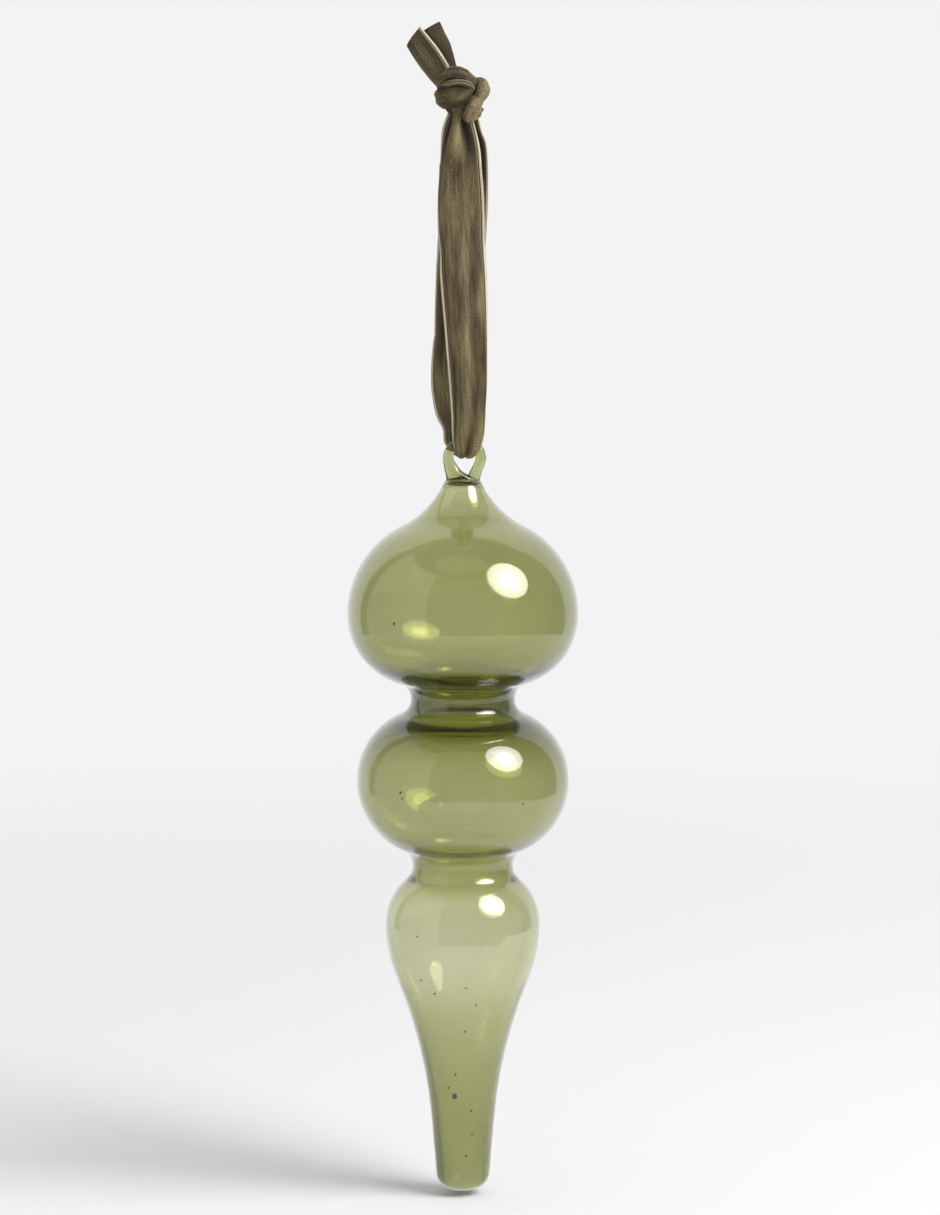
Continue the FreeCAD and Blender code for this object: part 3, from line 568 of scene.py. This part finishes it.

# %% [markdown]
# ## Seeds in the glass
# Glass from a furnace holds small marks. Air is caught when it is gathered, and blowing draws
# the bubbles long: a big one low in the stem shows as a ring. The smallest marks are drawn as
# dull, nearly black specks. Each lies between the two skins, so Geometry Nodes puts a small egg,
# faces turned inwards, on points worked out from both outlines.

# %% Seeds
# Each seed: right, height and radius in millimetres, as seen in the middle plane. The camera
# looks down by ten degrees, so a seed on the front wall sits higher by a share of its depth
SEED_RISE = 0.17
LARGEST_SHARE = 0.4
SPECK_BELOW = 0.6
SEEDS = [
    (-2.7, -327.5, 0.85), (-2.4, -320, 0.36), (0.7, -305, 0.32), (4.4, -296, 0.3),
    (-4.7, -324.5, 0.34), (2.7, -332.5, 0.36), (1, -348, 0.36), (3, -340.5, 0.3), (-15, -273, 0.3),
    (-9.3, -292, 0.34), (-13.7, -287.5, 0.3), (1, -290.1, 0.28), (-20.3, -224.5, 0.4),
    (-19.8, -226.4, 0.28), (19.7, -228, 0.3), (-22.3, -168.5, 0.42), (-15.4, -201.5, 0.34),
]


def radius_at(points, height):
    """The outline's radius at a height, on its lowest or only crossing."""
    for first, second in zip(points[::-1], points[-2::-1]):
        low, high = sorted((first.y, second.y))
        if low <= height <= high and high > low:
            return first.x + (second.x - first.x) * (height - first.y) / (second.y - first.y)


def front_wall(right, height):
    """How far before the axis the wall's middle is, and how thick the wall is."""
    outer, inner = radius_at(outside, height), radius_at(hollow, height)
    return sqrt(((outer + inner) / 2) ** 2 - right ** 2), outer - inner


seed_places, seed_radii = [], []
for right, height, radius in SEEDS:
    height += front_wall(right, height)[0] * SEED_RISE
    front, wall = front_wall(right, height)
    seed_places.append((right * MM, -front * MM, height * MM))
    seed_radii.append(min(radius, wall * LARGEST_SHARE) * MM)
seed_mesh = bpy.data.meshes.new("seed_marks")
seed_mesh.from_pydata(seed_places, [], [])
seed_mesh.attributes.new("seed_radius", "FLOAT", "POINT").data.foreach_set("value", seed_radii)
# Seeds below a size are drawn dull and nearly black
dark_speck, tree = new_material("dark_specks_in_glass")
speck_surface = add_node(tree, "BsdfPrincipled", {"Base Color": linear("#1c2010"), "Roughness": 0.7})
add_node(tree, "OutputMaterial", [speck_surface])
seeding, given = geometry_tree("seeds", {"Marks": "Geometry", "Drawn long": "Float"}, "Seeds")
egg = add_node(seeding, "GeometryNodeMeshIcoSphere", {"Radius": 1.0, "Subdivisions": 3})
radius = add_node(seeding, "GeometryNodeInputNamedAttribute", {"Name": "seed_radius"})
drawn = add_node(seeding, "CombineXYZ", [1.0, 0.5, given["Drawn long"]])
size = add_node(seeding, "VectorMath SCALE", {0: drawn, "Scale": radius})
laid = add_node(seeding, "GeometryNodeInstanceOnPoints",
                {"Points": given["Marks"], "Instance": egg, "Scale": size})
real = add_node(seeding, "GeometryNodeRealizeInstances", [laid])
inwards = add_node(seeding, "GeometryNodeFlipFaces", [real])
glassy = add_node(seeding, "GeometryNodeSetMaterial", {"Geometry": inwards, "Material": olive})
small = add_node(seeding, "FunctionNodeCompare LESS_THAN", [radius, SPECK_BELOW * MM])
specks = add_node(seeding, "GeometryNodeSetMaterial",
                  {"Geometry": glassy, "Selection": small, "Material": dark_speck})
add_node(seeding, "NodeGroupOutput", [specks])
eggs_mesh = mesh_from_nodes("glass_seeds", seed_mesh, seeding, {"Drawn long": 1.25})
eggs_mesh.shade_smooth()
eggs = add_object("glass_seeds", eggs_mesh)
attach(eggs, "root")
print("seeds", len(seed_places), "faces", len(eggs_mesh.polygons))

# %% [markdown]
# ## The ribbon's width, bent
# Velvet ribbon bends but doesn't stretch. So at each height its cross-section is a line as long
# as the ribbon is wide, bent into an arch, a wave or both, until its two edges are as far
# apart as they should be. The amount of bending is found by halving the interval.

# %% Bending the width
RIBBON_WIDTH = 16.0
PILE = 0.5
WOVEN_EDGE = 0.2
BACKING = 0.18
EDGE_STOPS = [0.0, 0.25, 0.6, 1.0, 1.3, 1.5, 1.75, 2.1, 2.6]
MIDDLE_COLUMNS = 26
inner_width = RIBBON_WIDTH - 2 * EDGE_STOPS[-1]
COLUMNS = EDGE_STOPS + [EDGE_STOPS[-1] + inner_width * (number + 1) / (MIDDLE_COLUMNS + 1)
                        for number in range(MIDDLE_COLUMNS)]
COLUMNS += [RIBBON_WIDTH - stop for stop in reversed(EDGE_STOPS)]
FINE = 96
ROW_STEPS = 9
# Over the width from -1 to 1: where a hooked edge begins to turn, and how far on it is full
HOOK_START, HOOK_REACH = -0.35, 0.5
MOST_BENT, HALVINGS = 3.0, 24
# The pile's distance from the edge and the width of its slope, and the least gather that swells
PILE_START, PILE_SLOPE, LEAST_GATHER = 1.3, 0.45, 0.45


def bent_line(amount, arch, wave, phase, hook, length):
    """Places (sideways, outward) along a bent line of that length, from its left end."""
    sideways, outward = 0.0, 0.0
    places = [(0.0, 0.0)]
    for number in range(FINE):
        s = 2 * (number + 0.5) / FINE - 1
        heading = -amount * (arch * s + wave * sin(2 * pi * s + phase))
        if s < HOOK_START:
            heading += hook * min(1.0, (HOOK_START - s) / HOOK_REACH)
        sideways += cos(heading) * length / FINE
        outward += sin(heading) * length / FINE
        places.append((sideways, outward))
    return places


def width_section(chord, arch, wave, phase, hook, length):
    """The bent line whose ends are chord apart, turned so that they lie level."""
    low, high = 0.0, MOST_BENT
    for _ in range(HALVINGS):
        middle = (low + high) / 2
        end = bent_line(middle, arch, wave, phase, 0.0, length)[-1]
        if hypot(*end) > chord:
            low = middle
        else:
            high = middle
    straight = bent_line(low, arch, wave, phase, 0.0, length)
    tilt = atan2(straight[-1][1], straight[-1][0])
    places = bent_line(low, arch, wave, phase, hook, length)
    last = places[-1]
    reach = hypot(*straight[-1])
    turned = []
    for sideways, outward in places:
        sideways, outward = sideways - last[0], outward - last[1]
        turned.append((sideways * cos(tilt) + outward * sin(tilt) + reach,
                       outward * cos(tilt) - sideways * sin(tilt)))
    return turned


def between(places, spot, part):
    """The place part of the way from one of the places to the next."""
    return [a * (1 - part) + b * part for a, b in zip(places[spot], places[spot + 1])]


def cloth_rows(rows):
    """Rows of points over the ribbon's width, in millimetres.

    Each row: left edge (x, y, z), right edge (x, y, z), outward turn in degrees (0 is the front,
    90 is down, 180 is the back), gather, arch, wave, phase and hook."""
    result = []
    for row in smooth_rows(rows, ROW_STEPS):
        left = Vector(row[:3])
        across = Vector(row[3:6]) - left
        turned, gather, *bend = row[6:]
        chord = across.length
        across.normalize()
        angle = radians(turned)
        outward = Vector((0.0, -cos(angle), -sin(angle)))
        outward = (outward - across * outward.dot(across)).normalized()
        length = max(RIBBON_WIDTH * gather, chord * 1.001)
        places = width_section(chord, *bend, length)
        line = []
        for column in COLUMNS:
            share = column / RIBBON_WIDTH * FINE
            first = min(int(share), FINE - 1)
            sideways, lift = between(places, first, share - first)
            line.append(left + across * sideways + outward * lift)
        result.append((line, gather))
    return result


def pile_height(column):
    """Pile stands on the middle of the ribbon, and the woven edges are bare."""
    from_edge = min(column, RIBBON_WIDTH - column)
    share = min(max((from_edge - PILE_START) / PILE_SLOPE, 0.0), 1.0)
    return WOVEN_EDGE + (PILE - WOVEN_EDGE) * share * share * (3 - 2 * share)


def add_strip(work, layer, rows, start):
    """Add a closed strip of cloth over the rows. Returns how far along the ribbon it ends."""
    rings = []
    travelled = start
    count, middle = len(COLUMNS), len(COLUMNS) // 2
    inner = len(EDGE_STOPS) - 2
    for number, (line, gather) in enumerate(rows):
        before = rows[max(number - 1, 0)][0]
        after = rows[min(number + 1, len(rows) - 1)][0]
        if number:
            travelled += (line[middle] - before[middle]).length
        top, bottom = [], []
        spread = line[-1 - inner] - line[inner]
        outward = (after[middle] - before[middle]).cross(spread).normalized()
        foremost = max(place.dot(outward) for place in line)
        swell = 1.0 / max(gather, LEAST_GATHER)
        for column in range(count):
            along = after[column] - before[column]
            side = line[min(column + 1, count - 1)] - line[max(column - 1, 0)]
            normal = along.cross(side).normalized()
            high = line[column] + normal * (pile_height(COLUMNS[column]) * swell)
            low = line[column] - normal * (BACKING * swell)
            # How far behind the row's foremost point: the velvet paints shade from it
            depth = foremost - line[column].dot(outward)
            for target, place in ((top, high), (bottom, low)):
                vertex = work.verts.new(place * MM)
                vertex[layer] = (travelled * MM, COLUMNS[column] * MM, depth * MM)
                target.append(vertex)
        rings.append(top + bottom[::-1])
    bridge(work, rings)
    for ring in (rings[0], rings[-1]):
        for number in range(count - 1):
            work.faces.new((ring[number], ring[number + 1], ring[-2 - number], ring[-1 - number]))
    return travelled


# %% [markdown]
# ## The two strands and the bend through the glass
# One strand hangs in front and one behind. Both are nearly flat halfway down, gathered under
# the knot, and folded together again where they go through the glass loop.

# %% Strands
STRAND_ROWS = [
    (-3.4, -0.6, 5.5, 1.6, -0.6, 5.5, 0, 0.6, 0.7, 1.3, 0.75, 0),
    (-4.7, -0.9, 2.6, 2.4, -1, 2.6, 0, 0.88, 0.7, 1.3, 0.75, 0.3),
    (-7.2, -1.1, -3.3, 4.2, -2, -3.3, 0, 1, 0.7, 1.2, 0.75, 0.7),
    (-8.9, -1.3, -9.9, 5.7, -2.9, -9.9, 0, 1, 0.8, 0.8, 0.75, 1),
    (-9.9, -1.8, -18, 6.5, -3.4, -18, 0, 1, 1, 0.4, 0.7, 1.25),
    (-10.3, -2.6, -26.3, 7.1, -3.8, -26.3, 0, 1, 1, 0.25, 0.6, 1.2),
    (-8.2, -3.8, -42.8, 7.4, -4, -42.8, 0, 1, 0.9, 0.3, 1, 0.5),
    (-7.4, -4.2, -52.8, 7.9, -4.1, -52.8, 0, 1, 0.7, 0.4, 1.4, 0),
    (-6, -4.3, -69.4, 8.1, -3.6, -69.4, 0, 1, 0.5, 0.5, 1.5, 0),
    (-4.65, -4.3, -85.9, 7.9, -2.9, -85.9, 0, 0.98, 0.5, 0.5, 1.5, 0),
    (-3.9, -4.2, -95.9, 7.4, -2.9, -95.9, 0, 0.88, 0.5, 0.5, 1.6, 0),
    (-3.65, -3.9, -102.5, 7.1, -2.9, -102.5, 0, 0.84, 0.5, 0.6, 2.2, 0),
    (-3.3, -3.4, -106.2, 6.6, -3.1, -106.2, 0, 0.76, 0.4, 0.8, 3, 0),
    (-2.9, -3.1, -108.2, 5.9, -3, -108.2, 30, 0.7, 0.3, 1, 3.14, 0),
    (-2.3, -2, -109.3, 4.6, -2, -109.3, 60, 0.58, 0.2, 1, 3.14, 0),
    (-1.7, 0, -109.8, 2.9, 0, -109.8, 90, 0.42, 0.1, 1, 3.14, 0),
    (-4.4, 2.9, -109.1, 3.9, 3, -108.7, 135, 0.6, 0.2, 1, 3.14, 0),
    (-6.2, 3.1, -106.8, 3.4, 3, -106.2, 180, 0.68, 0.4, 0.7, 3, 0),
    (-6.7, 3, -102.5, 3.2, 3, -102.5, 180, 0.8, 0.6, 0.5, 1.8, 0),
    (-8.3, 3.1, -97, 3.6, 3.4, -97, 180, 0.9, 0.9, 0.2, 0.6, -0.7),
    (-10.1, 3.4, -85.9, 4.5, 3.8, -85.9, 180, 1, 0.9, 0.1, 0, -1.1),
    (-10.4, 3.6, -69.4, 5.7, 4.2, -69.4, 180, 1, 0.9, 0.1, 0, -1.1),
    (-9.8, 3.8, -52.8, 6.6, 4.2, -52.8, 180, 1, 0.9, 0.1, 0, -1),
    (-8.5, 3.9, -42.8, 7.4, 4, -42.8, 180, 1, 1, 0.1, 0, -0.5),
    (-6.8, 3.4, -26.3, 8.3, 3.4, -26.3, 180, 1, 1, 0.2, 0, 0),
    (-4.6, 2.4, -9.9, 7.9, 2.6, -9.9, 180, 0.95, 1, 0.4, 0, 0),
    (-2.8, 1.7, -3.3, 5.9, 2, -3.3, 180, 0.8, 1, 0.7, 0, 0),
    (-1.9, 1.2, 2.6, 4.6, 1.4, 2.6, 180, 0.66, 1, 0.9, 0, 0),
    (-1.4, 0.8, 5.5, 3.4, 0.8, 5.5, 180, 0.5, 1, 0.9, 0, 0),
]
strand = cloth_rows(STRAND_ROWS)
print("strand rows", len(strand))

# %% [markdown]
# ## The two tails
# Past the knot the ribbon's two ends lean to the left. Each is still curled lengthways from
# being pulled tight, so its section is a flattened hook. The sections are drawn as a few
# points each, and the ribbon's width is laid along them.

# %% Tails
SECTION_STEPS = 16
TAIL_START = Vector((-5.8, -1.0, 13.5))
TAIL_ACROSS = Vector((0.81, 0.0, 0.588))
TAIL_ALONG = Vector((-0.579, 0.17, 0.797)).normalized()
TAIL_FORWARD = TAIL_ACROSS.cross(TAIL_ALONG).normalized()
if TAIL_FORWARD.y > 0:
    TAIL_FORWARD = -TAIL_FORWARD
# Each row: distance along at the first edge and at the last edge, then the section's points
FRONT_TAIL = [
    (-3, -4, [(1.6, 0.8), (0.4, 1.3), (-1, 1), (-1.6, 0), (-1, -0.9), (0, -1), (1.2, -0.6)]),
    (1, 0,
     [(3.3, 1.5), (0.7, 2.2), (-2, 1.8), (-3.3, 0.2), (-2.4, -1.4), (-0.2, -1.8), (2, -1.2)]),
    (8, 6, [(4, 1.2), (1, 2.6), (-2.2, 2.2), (-3.9, 0.2), (-2.8, -1.8), (-0.5, -2.3), (1.5, -2)]),
    (14, 11,
     [(3.8, 0.9), (0.9, 2.4), (-2.2, 2.1), (-3.8, 0.2), (-2.8, -1.7), (-0.5, -2.2), (1.5, -1.9)]),
    (18.9, 14,
     [(3.4, 0.6), (0.8, 2.2), (-2, 1.9), (-3.4, 0.3), (-2.6, -1.5), (-0.4, -2), (1.4, -1.8)]),
]
BACK_TAIL = [
    (-3, -3, [(1, -0.8), (2, -0.6), (2.9, -0.9), (3, -1.6), (2.2, -2.2), (1, -2.2), (0.2, -1.9)]),
    (1, 1, [(1, -0.4), (3.2, 0.2), (4.8, -0.2), (5, -1.3), (3.4, -2.3), (1, -2.5), (-1.2, -2.1)]),
    (8, 8,
     [(0.5, -2.4), (3.5, -0.5), (6.3, -0.6), (7.8, -1.7), (6.2, -3), (3, -3.7), (-0.5, -3.5)]),
    (13, 12.5,
     [(0.8, -2.4), (4, -0.5), (7.1, -0.7), (8.7, -1.8), (7.2, -3), (4, -3.7), (0.3, -3.6)]),
    (17.5, 16,
     [(1.5, -2.2), (4.5, -0.5), (7.7, -0.8), (9.4, -1.9), (8.2, -3), (5, -3.7), (1.4, -3.6)]),
]


def tail_rows(rows):
    """Rows of points over the ribbon's width, from sections given as a few points."""
    flat = [(first, last) + tuple(value for point in section for value in point)
            for first, last, section in rows]
    result = []
    for row in smooth_rows(flat, ROW_STEPS):
        first, last = row[:2]
        fine = smooth_rows(list(zip(row[2::2], row[3::2])), SECTION_STEPS)
        lengths = [0.0]
        for before, after in zip(fine, fine[1:]):
            lengths.append(lengths[-1] + dist(before, after))
        line = []
        for column in COLUMNS:
            share = column / RIBBON_WIDTH
            target = share * lengths[-1]
            spot = 0
            while spot < len(lengths) - 2 and lengths[spot + 1] < target:
                spot += 1
            part = (target - lengths[spot]) / (lengths[spot + 1] - lengths[spot])
            right, front = between(fine, spot, part)
            line.append(TAIL_START + TAIL_ALONG * (first * (1 - share) + last * share)
                        + TAIL_ACROSS * right + TAIL_FORWARD * front)
        result.append((line, lengths[-1] / RIBBON_WIDTH))
    return result


front_tail = tail_rows(FRONT_TAIL)
back_tail = tail_rows(BACK_TAIL)
print("tail rows", len(front_tail), len(back_tail))

# %% [markdown]
# ## The knot
# Both ends are tied together in one overhand knot. Pulled tight, each turn is the ribbon
# bunched to a soft oval rope, so the knot is a few such turns pressed into each other. Each
# turn gets soft lengthwise folds.

# %% Knot
KNOT_HEART = Vector((-1.0, 0.0, 8.4))
FOLD_POINTS = 44
TURN_STEPS = 10
# Each row: right, front, up, half width, half thickness
KNOT_TURNS = {
    "heart": [
        (-0.5, 0, 1, 3, 2.6), (-0.9, -0.2, 4.4, 5, 4), (-1, -0.4, 9, 6, 4.7),
        (-1.9, -0.5, 12.6, 5, 4.2), (-2.7, -0.5, 15.2, 3.6, 3)],
    "upper": [
        (-6.3, -1.4, 10.8, 2.4, 2), (-6.3, 2.3, 13.2, 2.9, 2.2), (-4.2, 4.1, 14.8, 3, 2.2),
        (-1.7, 4.5, 15, 3.1, 2.3), (1.2, 3.6, 13.9, 3, 2.3), (3.1, 0.6, 11.6, 2.4, 2.1),
        (3.2, -2.2, 9.8, 2, 1.9)],
    "lower_left": [
        (3, 2.8, 11, 1.2, 1.2), (1.3, 4.7, 9.9, 2.5, 1.8), (-1.7, 5.9, 9, 4, 2),
        (-5.1, 5.3, 8.3, 4.2, 2.2), (-6.9, 1.8, 7.8, 3.5, 2.2), (-6, -2.8, 8, 3, 2.1)],
    "rolled_edge": [
        (-8, 2.2, 11.2, 0.7, 0.7), (-5.2, 6.2, 12.1, 0.9, 0.8), (-1.7, 7.4, 12.6, 1, 0.9),
        (1.2, 6.8, 12.2, 1.1, 0.9), (3.2, 5.2, 10.9, 0.9, 0.9), (2.8, 4.4, 9.6, 0.7, 0.7)],
    "right": [
        (3.5, -3.5, 10.4, 2.4, 2.2), (6.4, -0.4, 11.3, 2.8, 2.3), (6.5, 2.8, 9.5, 3.1, 2.4),
        (5.1, 3.2, 6.9, 3.1, 1.7), (3.7, 4, 4.5, 4.3, 2.3), (3.2, 3, 1.9, 3.7, 1.9),
        (3.9, 2.4, 0.5, 2.6, 1.5)],
    "back": [
        (-5.9, -1.7, 7.7, 2.6, 2.1), (-2.8, -5.2, 7.7, 3.3, 2.1), (1.4, -5.6, 8.7, 3.3, 2.1),
        (4.5, -2.8, 10.4, 2.6, 2.1)],
}
# Painted shade for each turn, given as extra fold depth in mm
KNOT_PAINTED_SHADE = {"heart": 1.5, "upper": 0.9, "lower_left": 2.6, "rolled_edge": 0.0, "right": 0.0,
                "back": 1.0}
# Noise folds a turn: scale and height of each wave, then its turns round and along the rope
FOLD_WAVES = ((1.0, 0.2), (2.7, 0.15), (6.5, 0.08))
FOLD_ROUND, FOLD_ALONG, SEED_APART = 1.6, 0.09, 7.0
# On the cloth, in mm: the next turn's place along it, where velvet begins and how much shows,
# half the woven edge, and how much deeper than its real depth a fold's painted shade is
TURN_APART, VELVET_START, VELVET_SHOWN, HALF_EDGE, FOLD_SHADE = 52.0, 3.0, 10.0, 0.93, 8.0


def add_turn(work, layer, name, seed):
    """Add one turn of the knot: a closed rope of folded ribbon along its path.

    The rolled edge shows the ribbon's woven edge, and the other turns show its middle."""
    path = smooth_rows(KNOT_TURNS[name], TURN_STEPS)
    middles = [Vector((right, -front, up)) for right, front, up, _, _ in path]
    travelled = TURN_APART * seed
    rings = []
    for number, (_, _, _, half_width, half_thickness) in enumerate(path):
        before = middles[max(number - 1, 0)]
        after = middles[min(number + 1, len(path) - 1)]
        if name == "heart":
            across, outward = Vector((1.0, 0.0, 0.0)), Vector((0.0, -1.0, 0.0))
        else:
            along = (after - before).normalized()
            across = along.cross(middles[number] - KNOT_HEART).normalized()
            outward = across.cross(along).normalized()
        if number:
            travelled += (middles[number] - before).length
        ring = []
        for angle in (2 * pi * point / FOLD_POINTS for point in range(FOLD_POINTS)):
            place = Vector((cos(angle) * FOLD_ROUND, sin(angle) * FOLD_ROUND,
                            travelled * FOLD_ALONG + seed * SEED_APART))
            swell = 1.0 + sum(high * noise.noise(place * scale) for scale, high in FOLD_WAVES)
            where = (middles[number] + across * (half_width * cos(angle) * swell)
                     + outward * (half_thickness * sin(angle) * swell))
            vertex = work.verts.new(where * MM)
            if name == "rolled_edge":
                shown = -HALF_EDGE * (1.0 + sin(angle))
            else:
                shown = VELVET_SHOWN * ((angle / (2 * pi) + 0.25) % 1.0)
            # Painted shade: the depth grows towards the back of the rope and into the folds'
            # hollows, plus the turn's own extra
            depth = (KNOT_PAINTED_SHADE[name] + half_thickness * (1.0 - sin(angle))
                     - FOLD_SHADE * (swell - 1.0))
            vertex[layer] = (travelled * MM, (VELVET_START + shown) * MM, depth * MM)
            ring.append(vertex)
        rings.append(ring)
    add_tube(work, rings)


# Each strip and where it starts along the ribbon, in mm
STRIPS = {"strands": (strand, 38.0), "front tail": (front_tail, 322.0),
          "back tail": (back_tail, 374.0)}
work = bmesh.new()
layer = work.verts.layers.float_vector.new("cloth")
for name, (rows, start) in STRIPS.items():
    print(name, round(add_strip(work, layer, rows, start) - start), "mm long")
for seed, name in enumerate(KNOT_TURNS):
    add_turn(work, layer, name, seed)
ribbon_mesh = smooth_mesh(work, "ribbon")
print("ribbon faces", len(ribbon_mesh.polygons))

# %% [markdown]
# ## Velvet
# The ribbon is viscose velvet: a dense short pile on a woven ground. Pile hides light between
# its tips, so the cloth looks deep and dull face on, and pale where it is seen along its tips.
# Where fingers have brushed it, the pile lies another way, so soft lengthwise streaks are
# lighter or darker. The pattern follows the cloth's own coordinates, kept on each point of the
# mesh in metres: how far along the ribbon, how far from its left edge, and how deep in a fold.
# The deeper in a fold, the darker the colour is painted: that is painted shade.

# %% Velvet
PICK_PITCH = 0.53
velvet, tree = new_material("viscose_velvet_ribbon_taupe")
cloth = add_node(tree, "Attribute", attribute_name="cloth").outputs["Vector"]
cloth_along, cloth_across, cloth_depth = add_node(tree, "SeparateXYZ", [cloth]).outputs


def stretched_noise(along_mm, across_mm, detail):
    """Soft noise with patches of about that size on the cloth."""
    sizes = (1000 / along_mm, 1000 / across_mm, 0.0)
    scale = add_node(tree, "VectorMath MULTIPLY", [cloth, sizes])
    return add_node(tree, "TexNoise",
                    {"Vector": scale, "Scale": 1.0, "Detail": detail, "Roughness": 0.55})


def woven_rows(pitch_mm):
    """A wave along the ribbon with that pitch."""
    turns = add_node(tree, "Math MULTIPLY", [cloth_along, 2 * pi * 1000 / pitch_mm])
    return add_node(tree, "Math SINE", [turns])


def set_stops(ramp, stops):
    """Give a new colour ramp its stops, each a position and a hex colour."""
    for position, _ in stops[1:-1]:
        ramp.elements.new(position)
    for element, (position, colour) in zip(ramp.elements, stops):
        element.position, element.color = position, linear(colour)


# Tufts and weave are drawn as coarse as they need to show
streaks = stretched_noise(9.0, 0.8, 3.0)
patches = stretched_noise(22.0, 5.0, 1.0)
tufts = stretched_noise(0.4, 0.28, 1.0)
weave = woven_rows(0.8)
lay = 0.0
for pattern, share in ((streaks, 0.32), (patches, 0.5), (tufts, 0.48), (weave, 0.012)):
    lay = add_node(tree, "Math MULTIPLY_ADD", [pattern, share, lay])
pile_colour = add_node(tree, "ValToRGB", [lay])
set_stops(pile_colour.color_ramp, ((0.46, "#2c2418"), (0.64, "#5f533b"), (0.82, "#96885f")))
# Painted shade: the deeper a point lies in a fold, the darker its colour, down to 0.3 of it
painted_fold_shade = add_node(tree, "MapRange", [cloth_depth, 0.4 * MM, 3.6 * MM, 1.0, 0.3],
                   interpolation_type="SMOOTHSTEP")
pile_shade = add_node(tree, "VectorMath SCALE", {0: pile_colour, "Scale": painted_fold_shade})
# The woven edge is bare: cream warp at the rim and dark ground beside it, crossed by ribs
from_right = add_node(tree, "Math SUBTRACT", [RIBBON_WIDTH * MM, cloth_across])
from_edge = add_node(tree, "Math MINIMUM", [cloth_across, from_right])
bare = add_node(tree, "MapRange", [from_edge, 1.45 * MM, 1.75 * MM, 1.0, 0.0])
over_edge = add_node(tree, "Math DIVIDE", [from_edge, 2.0 * MM])
woven = add_node(tree, "ValToRGB", [over_edge])
set_stops(woven.color_ramp, ((0.38, "#c2b596"), (0.47, "#221a10"), (0.56, "#2a2115"),
                             (0.64, "#9c8f72"), (0.71, "#8c7f62"), (0.78, "#382e1f")))
ribs = add_node(tree, "Math MULTIPLY_ADD", [woven_rows(PICK_PITCH), 0.3, 0.7])
ribbed = add_node(tree, "Mix", {"Factor": ribs, "A": linear("#3a3020"), "B": woven},
                  data_type="RGBA")
surface = add_node(tree, "Mix",
                   {"Factor": bare, "A": pile_shade, "B": ribbed.outputs[2]}, data_type="RGBA")
tips = add_node(tree, "Math MULTIPLY", [tufts, 0.9])
tips = add_node(tree, "Math MULTIPLY_ADD", [weave, 0.08, tips])
bump = add_node(tree, "Bump", {"Strength": 0.6, "Distance": 0.12 * MM, "Height": tips})
plush = add_node(tree, "BsdfPrincipled",
                 {"Base Color": surface.outputs[2], "Roughness": 0.8, "Specular IOR Level": 0.25,
                  "Sheen Weight": 0.3, "Sheen Roughness": 0.4, "Sheen Tint": linear("#d2c08c"),
                  "Normal": bump})
add_node(tree, "OutputMaterial", [plush])
ribbon = add_object("ribbon", ribbon_mesh)
ribbon_mesh.materials.append(velvet)
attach(ribbon, "root")
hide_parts("velvet_ribbon")
print("velvet nodes", len(tree.nodes))

# %% [markdown]
# ## The woven edges
# Along both edges the weft turns back round a thicker warp, and the turns show as a row of
# slanted cream picks. One pick is a stretched bead, and Geometry Nodes lays it on points that
# are marked along each edge, with the direction of the pick and of the cloth's face.

# %% Woven edges
PICK_SLANT = radians(28)
PICK_SIZES = {"Half length": 0.42 * MM, "Half width": 0.18 * MM, "Half thickness": 0.34 * MM}
pick_places, pick_axes, pick_normals = [], [], []
for rows in (strand, front_tail, back_tail):
    for outer, inner in ((1, 2), (-2, -3)):
        marks = [((line[outer] + line[inner]) / 2, (line[inner] - line[outer]).normalized())
                 for line, _ in rows]
        left_over = 0.0
        for (here, inward), (after, _) in zip(marks, marks[1:]):
            along = after - here
            length = along.length
            along.normalize()
            while left_over < length:
                pick_places.append((here + along * left_over) * MM)
                pick = inward * cos(PICK_SLANT) + along * sin(PICK_SLANT)
                pick_axes.append(pick.normalized())
                pick_normals.append(along.cross(inward).normalized())
                left_over += PICK_PITCH
            left_over -= length
marks_mesh = bpy.data.meshes.new("pick_marks")
marks_mesh.from_pydata(pick_places, [], [])
for name, vectors in (("pick_axis", pick_axes), ("pick_normal", pick_normals)):
    attribute = marks_mesh.attributes.new(name, "FLOAT_VECTOR", "POINT")
    attribute.data.foreach_set("vector", [value for vector in vectors for value in vector])
# Viscose yarn: cream, with the soft shine of a twisted thread
yarn, tree = new_material("viscose_selvedge_yarn_cream")
thread = add_node(tree, "BsdfPrincipled",
                  {"Base Color": linear("#f0e8d8"), "Roughness": 0.55, "Specular IOR Level": 0.35,
                   "Sheen Weight": 0.2, "Sheen Roughness": 0.4})
add_node(tree, "OutputMaterial", [thread])
picks, given = geometry_tree(
    "row_of_picks", {"Marks": "Geometry", **dict.fromkeys(PICK_SIZES, "Float")}, "Picks")
axis, facing = (add_node(picks, "GeometryNodeInputNamedAttribute", {"Name": name},
                         data_type="FLOAT_VECTOR") for name in ("pick_axis", "pick_normal"))
first_turn = add_node(picks, "FunctionNodeAlignRotationToVector", {"Vector": axis}, axis="X")
both_turns = add_node(picks, "FunctionNodeAlignRotationToVector",
                      {"Rotation": first_turn, "Vector": facing}, axis="Z", pivot_axis="X")
bead = add_node(picks, "GeometryNodeMeshUVSphere", {"Segments": 6, "Rings": 4, "Radius": 1.0})
stretch = add_node(picks, "CombineXYZ", [given[name] for name in PICK_SIZES])
laid = add_node(picks, "GeometryNodeInstanceOnPoints",
                {"Points": given["Marks"], "Instance": bead, "Rotation": both_turns,
                 "Scale": stretch})
real = add_node(picks, "GeometryNodeRealizeInstances", [laid])
dyed = add_node(picks, "GeometryNodeSetMaterial", {"Geometry": real, "Material": yarn})
add_node(picks, "NodeGroupOutput", [dyed])
edge_mesh = mesh_from_nodes("woven_edges", marks_mesh, picks, PICK_SIZES)
edge_mesh.shade_smooth()
edges = add_object("woven_edges", edge_mesh)
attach(edges, "root")
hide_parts("velvet_ribbon")
print("picks", len(pick_places), "edge faces", len(edge_mesh.polygons))
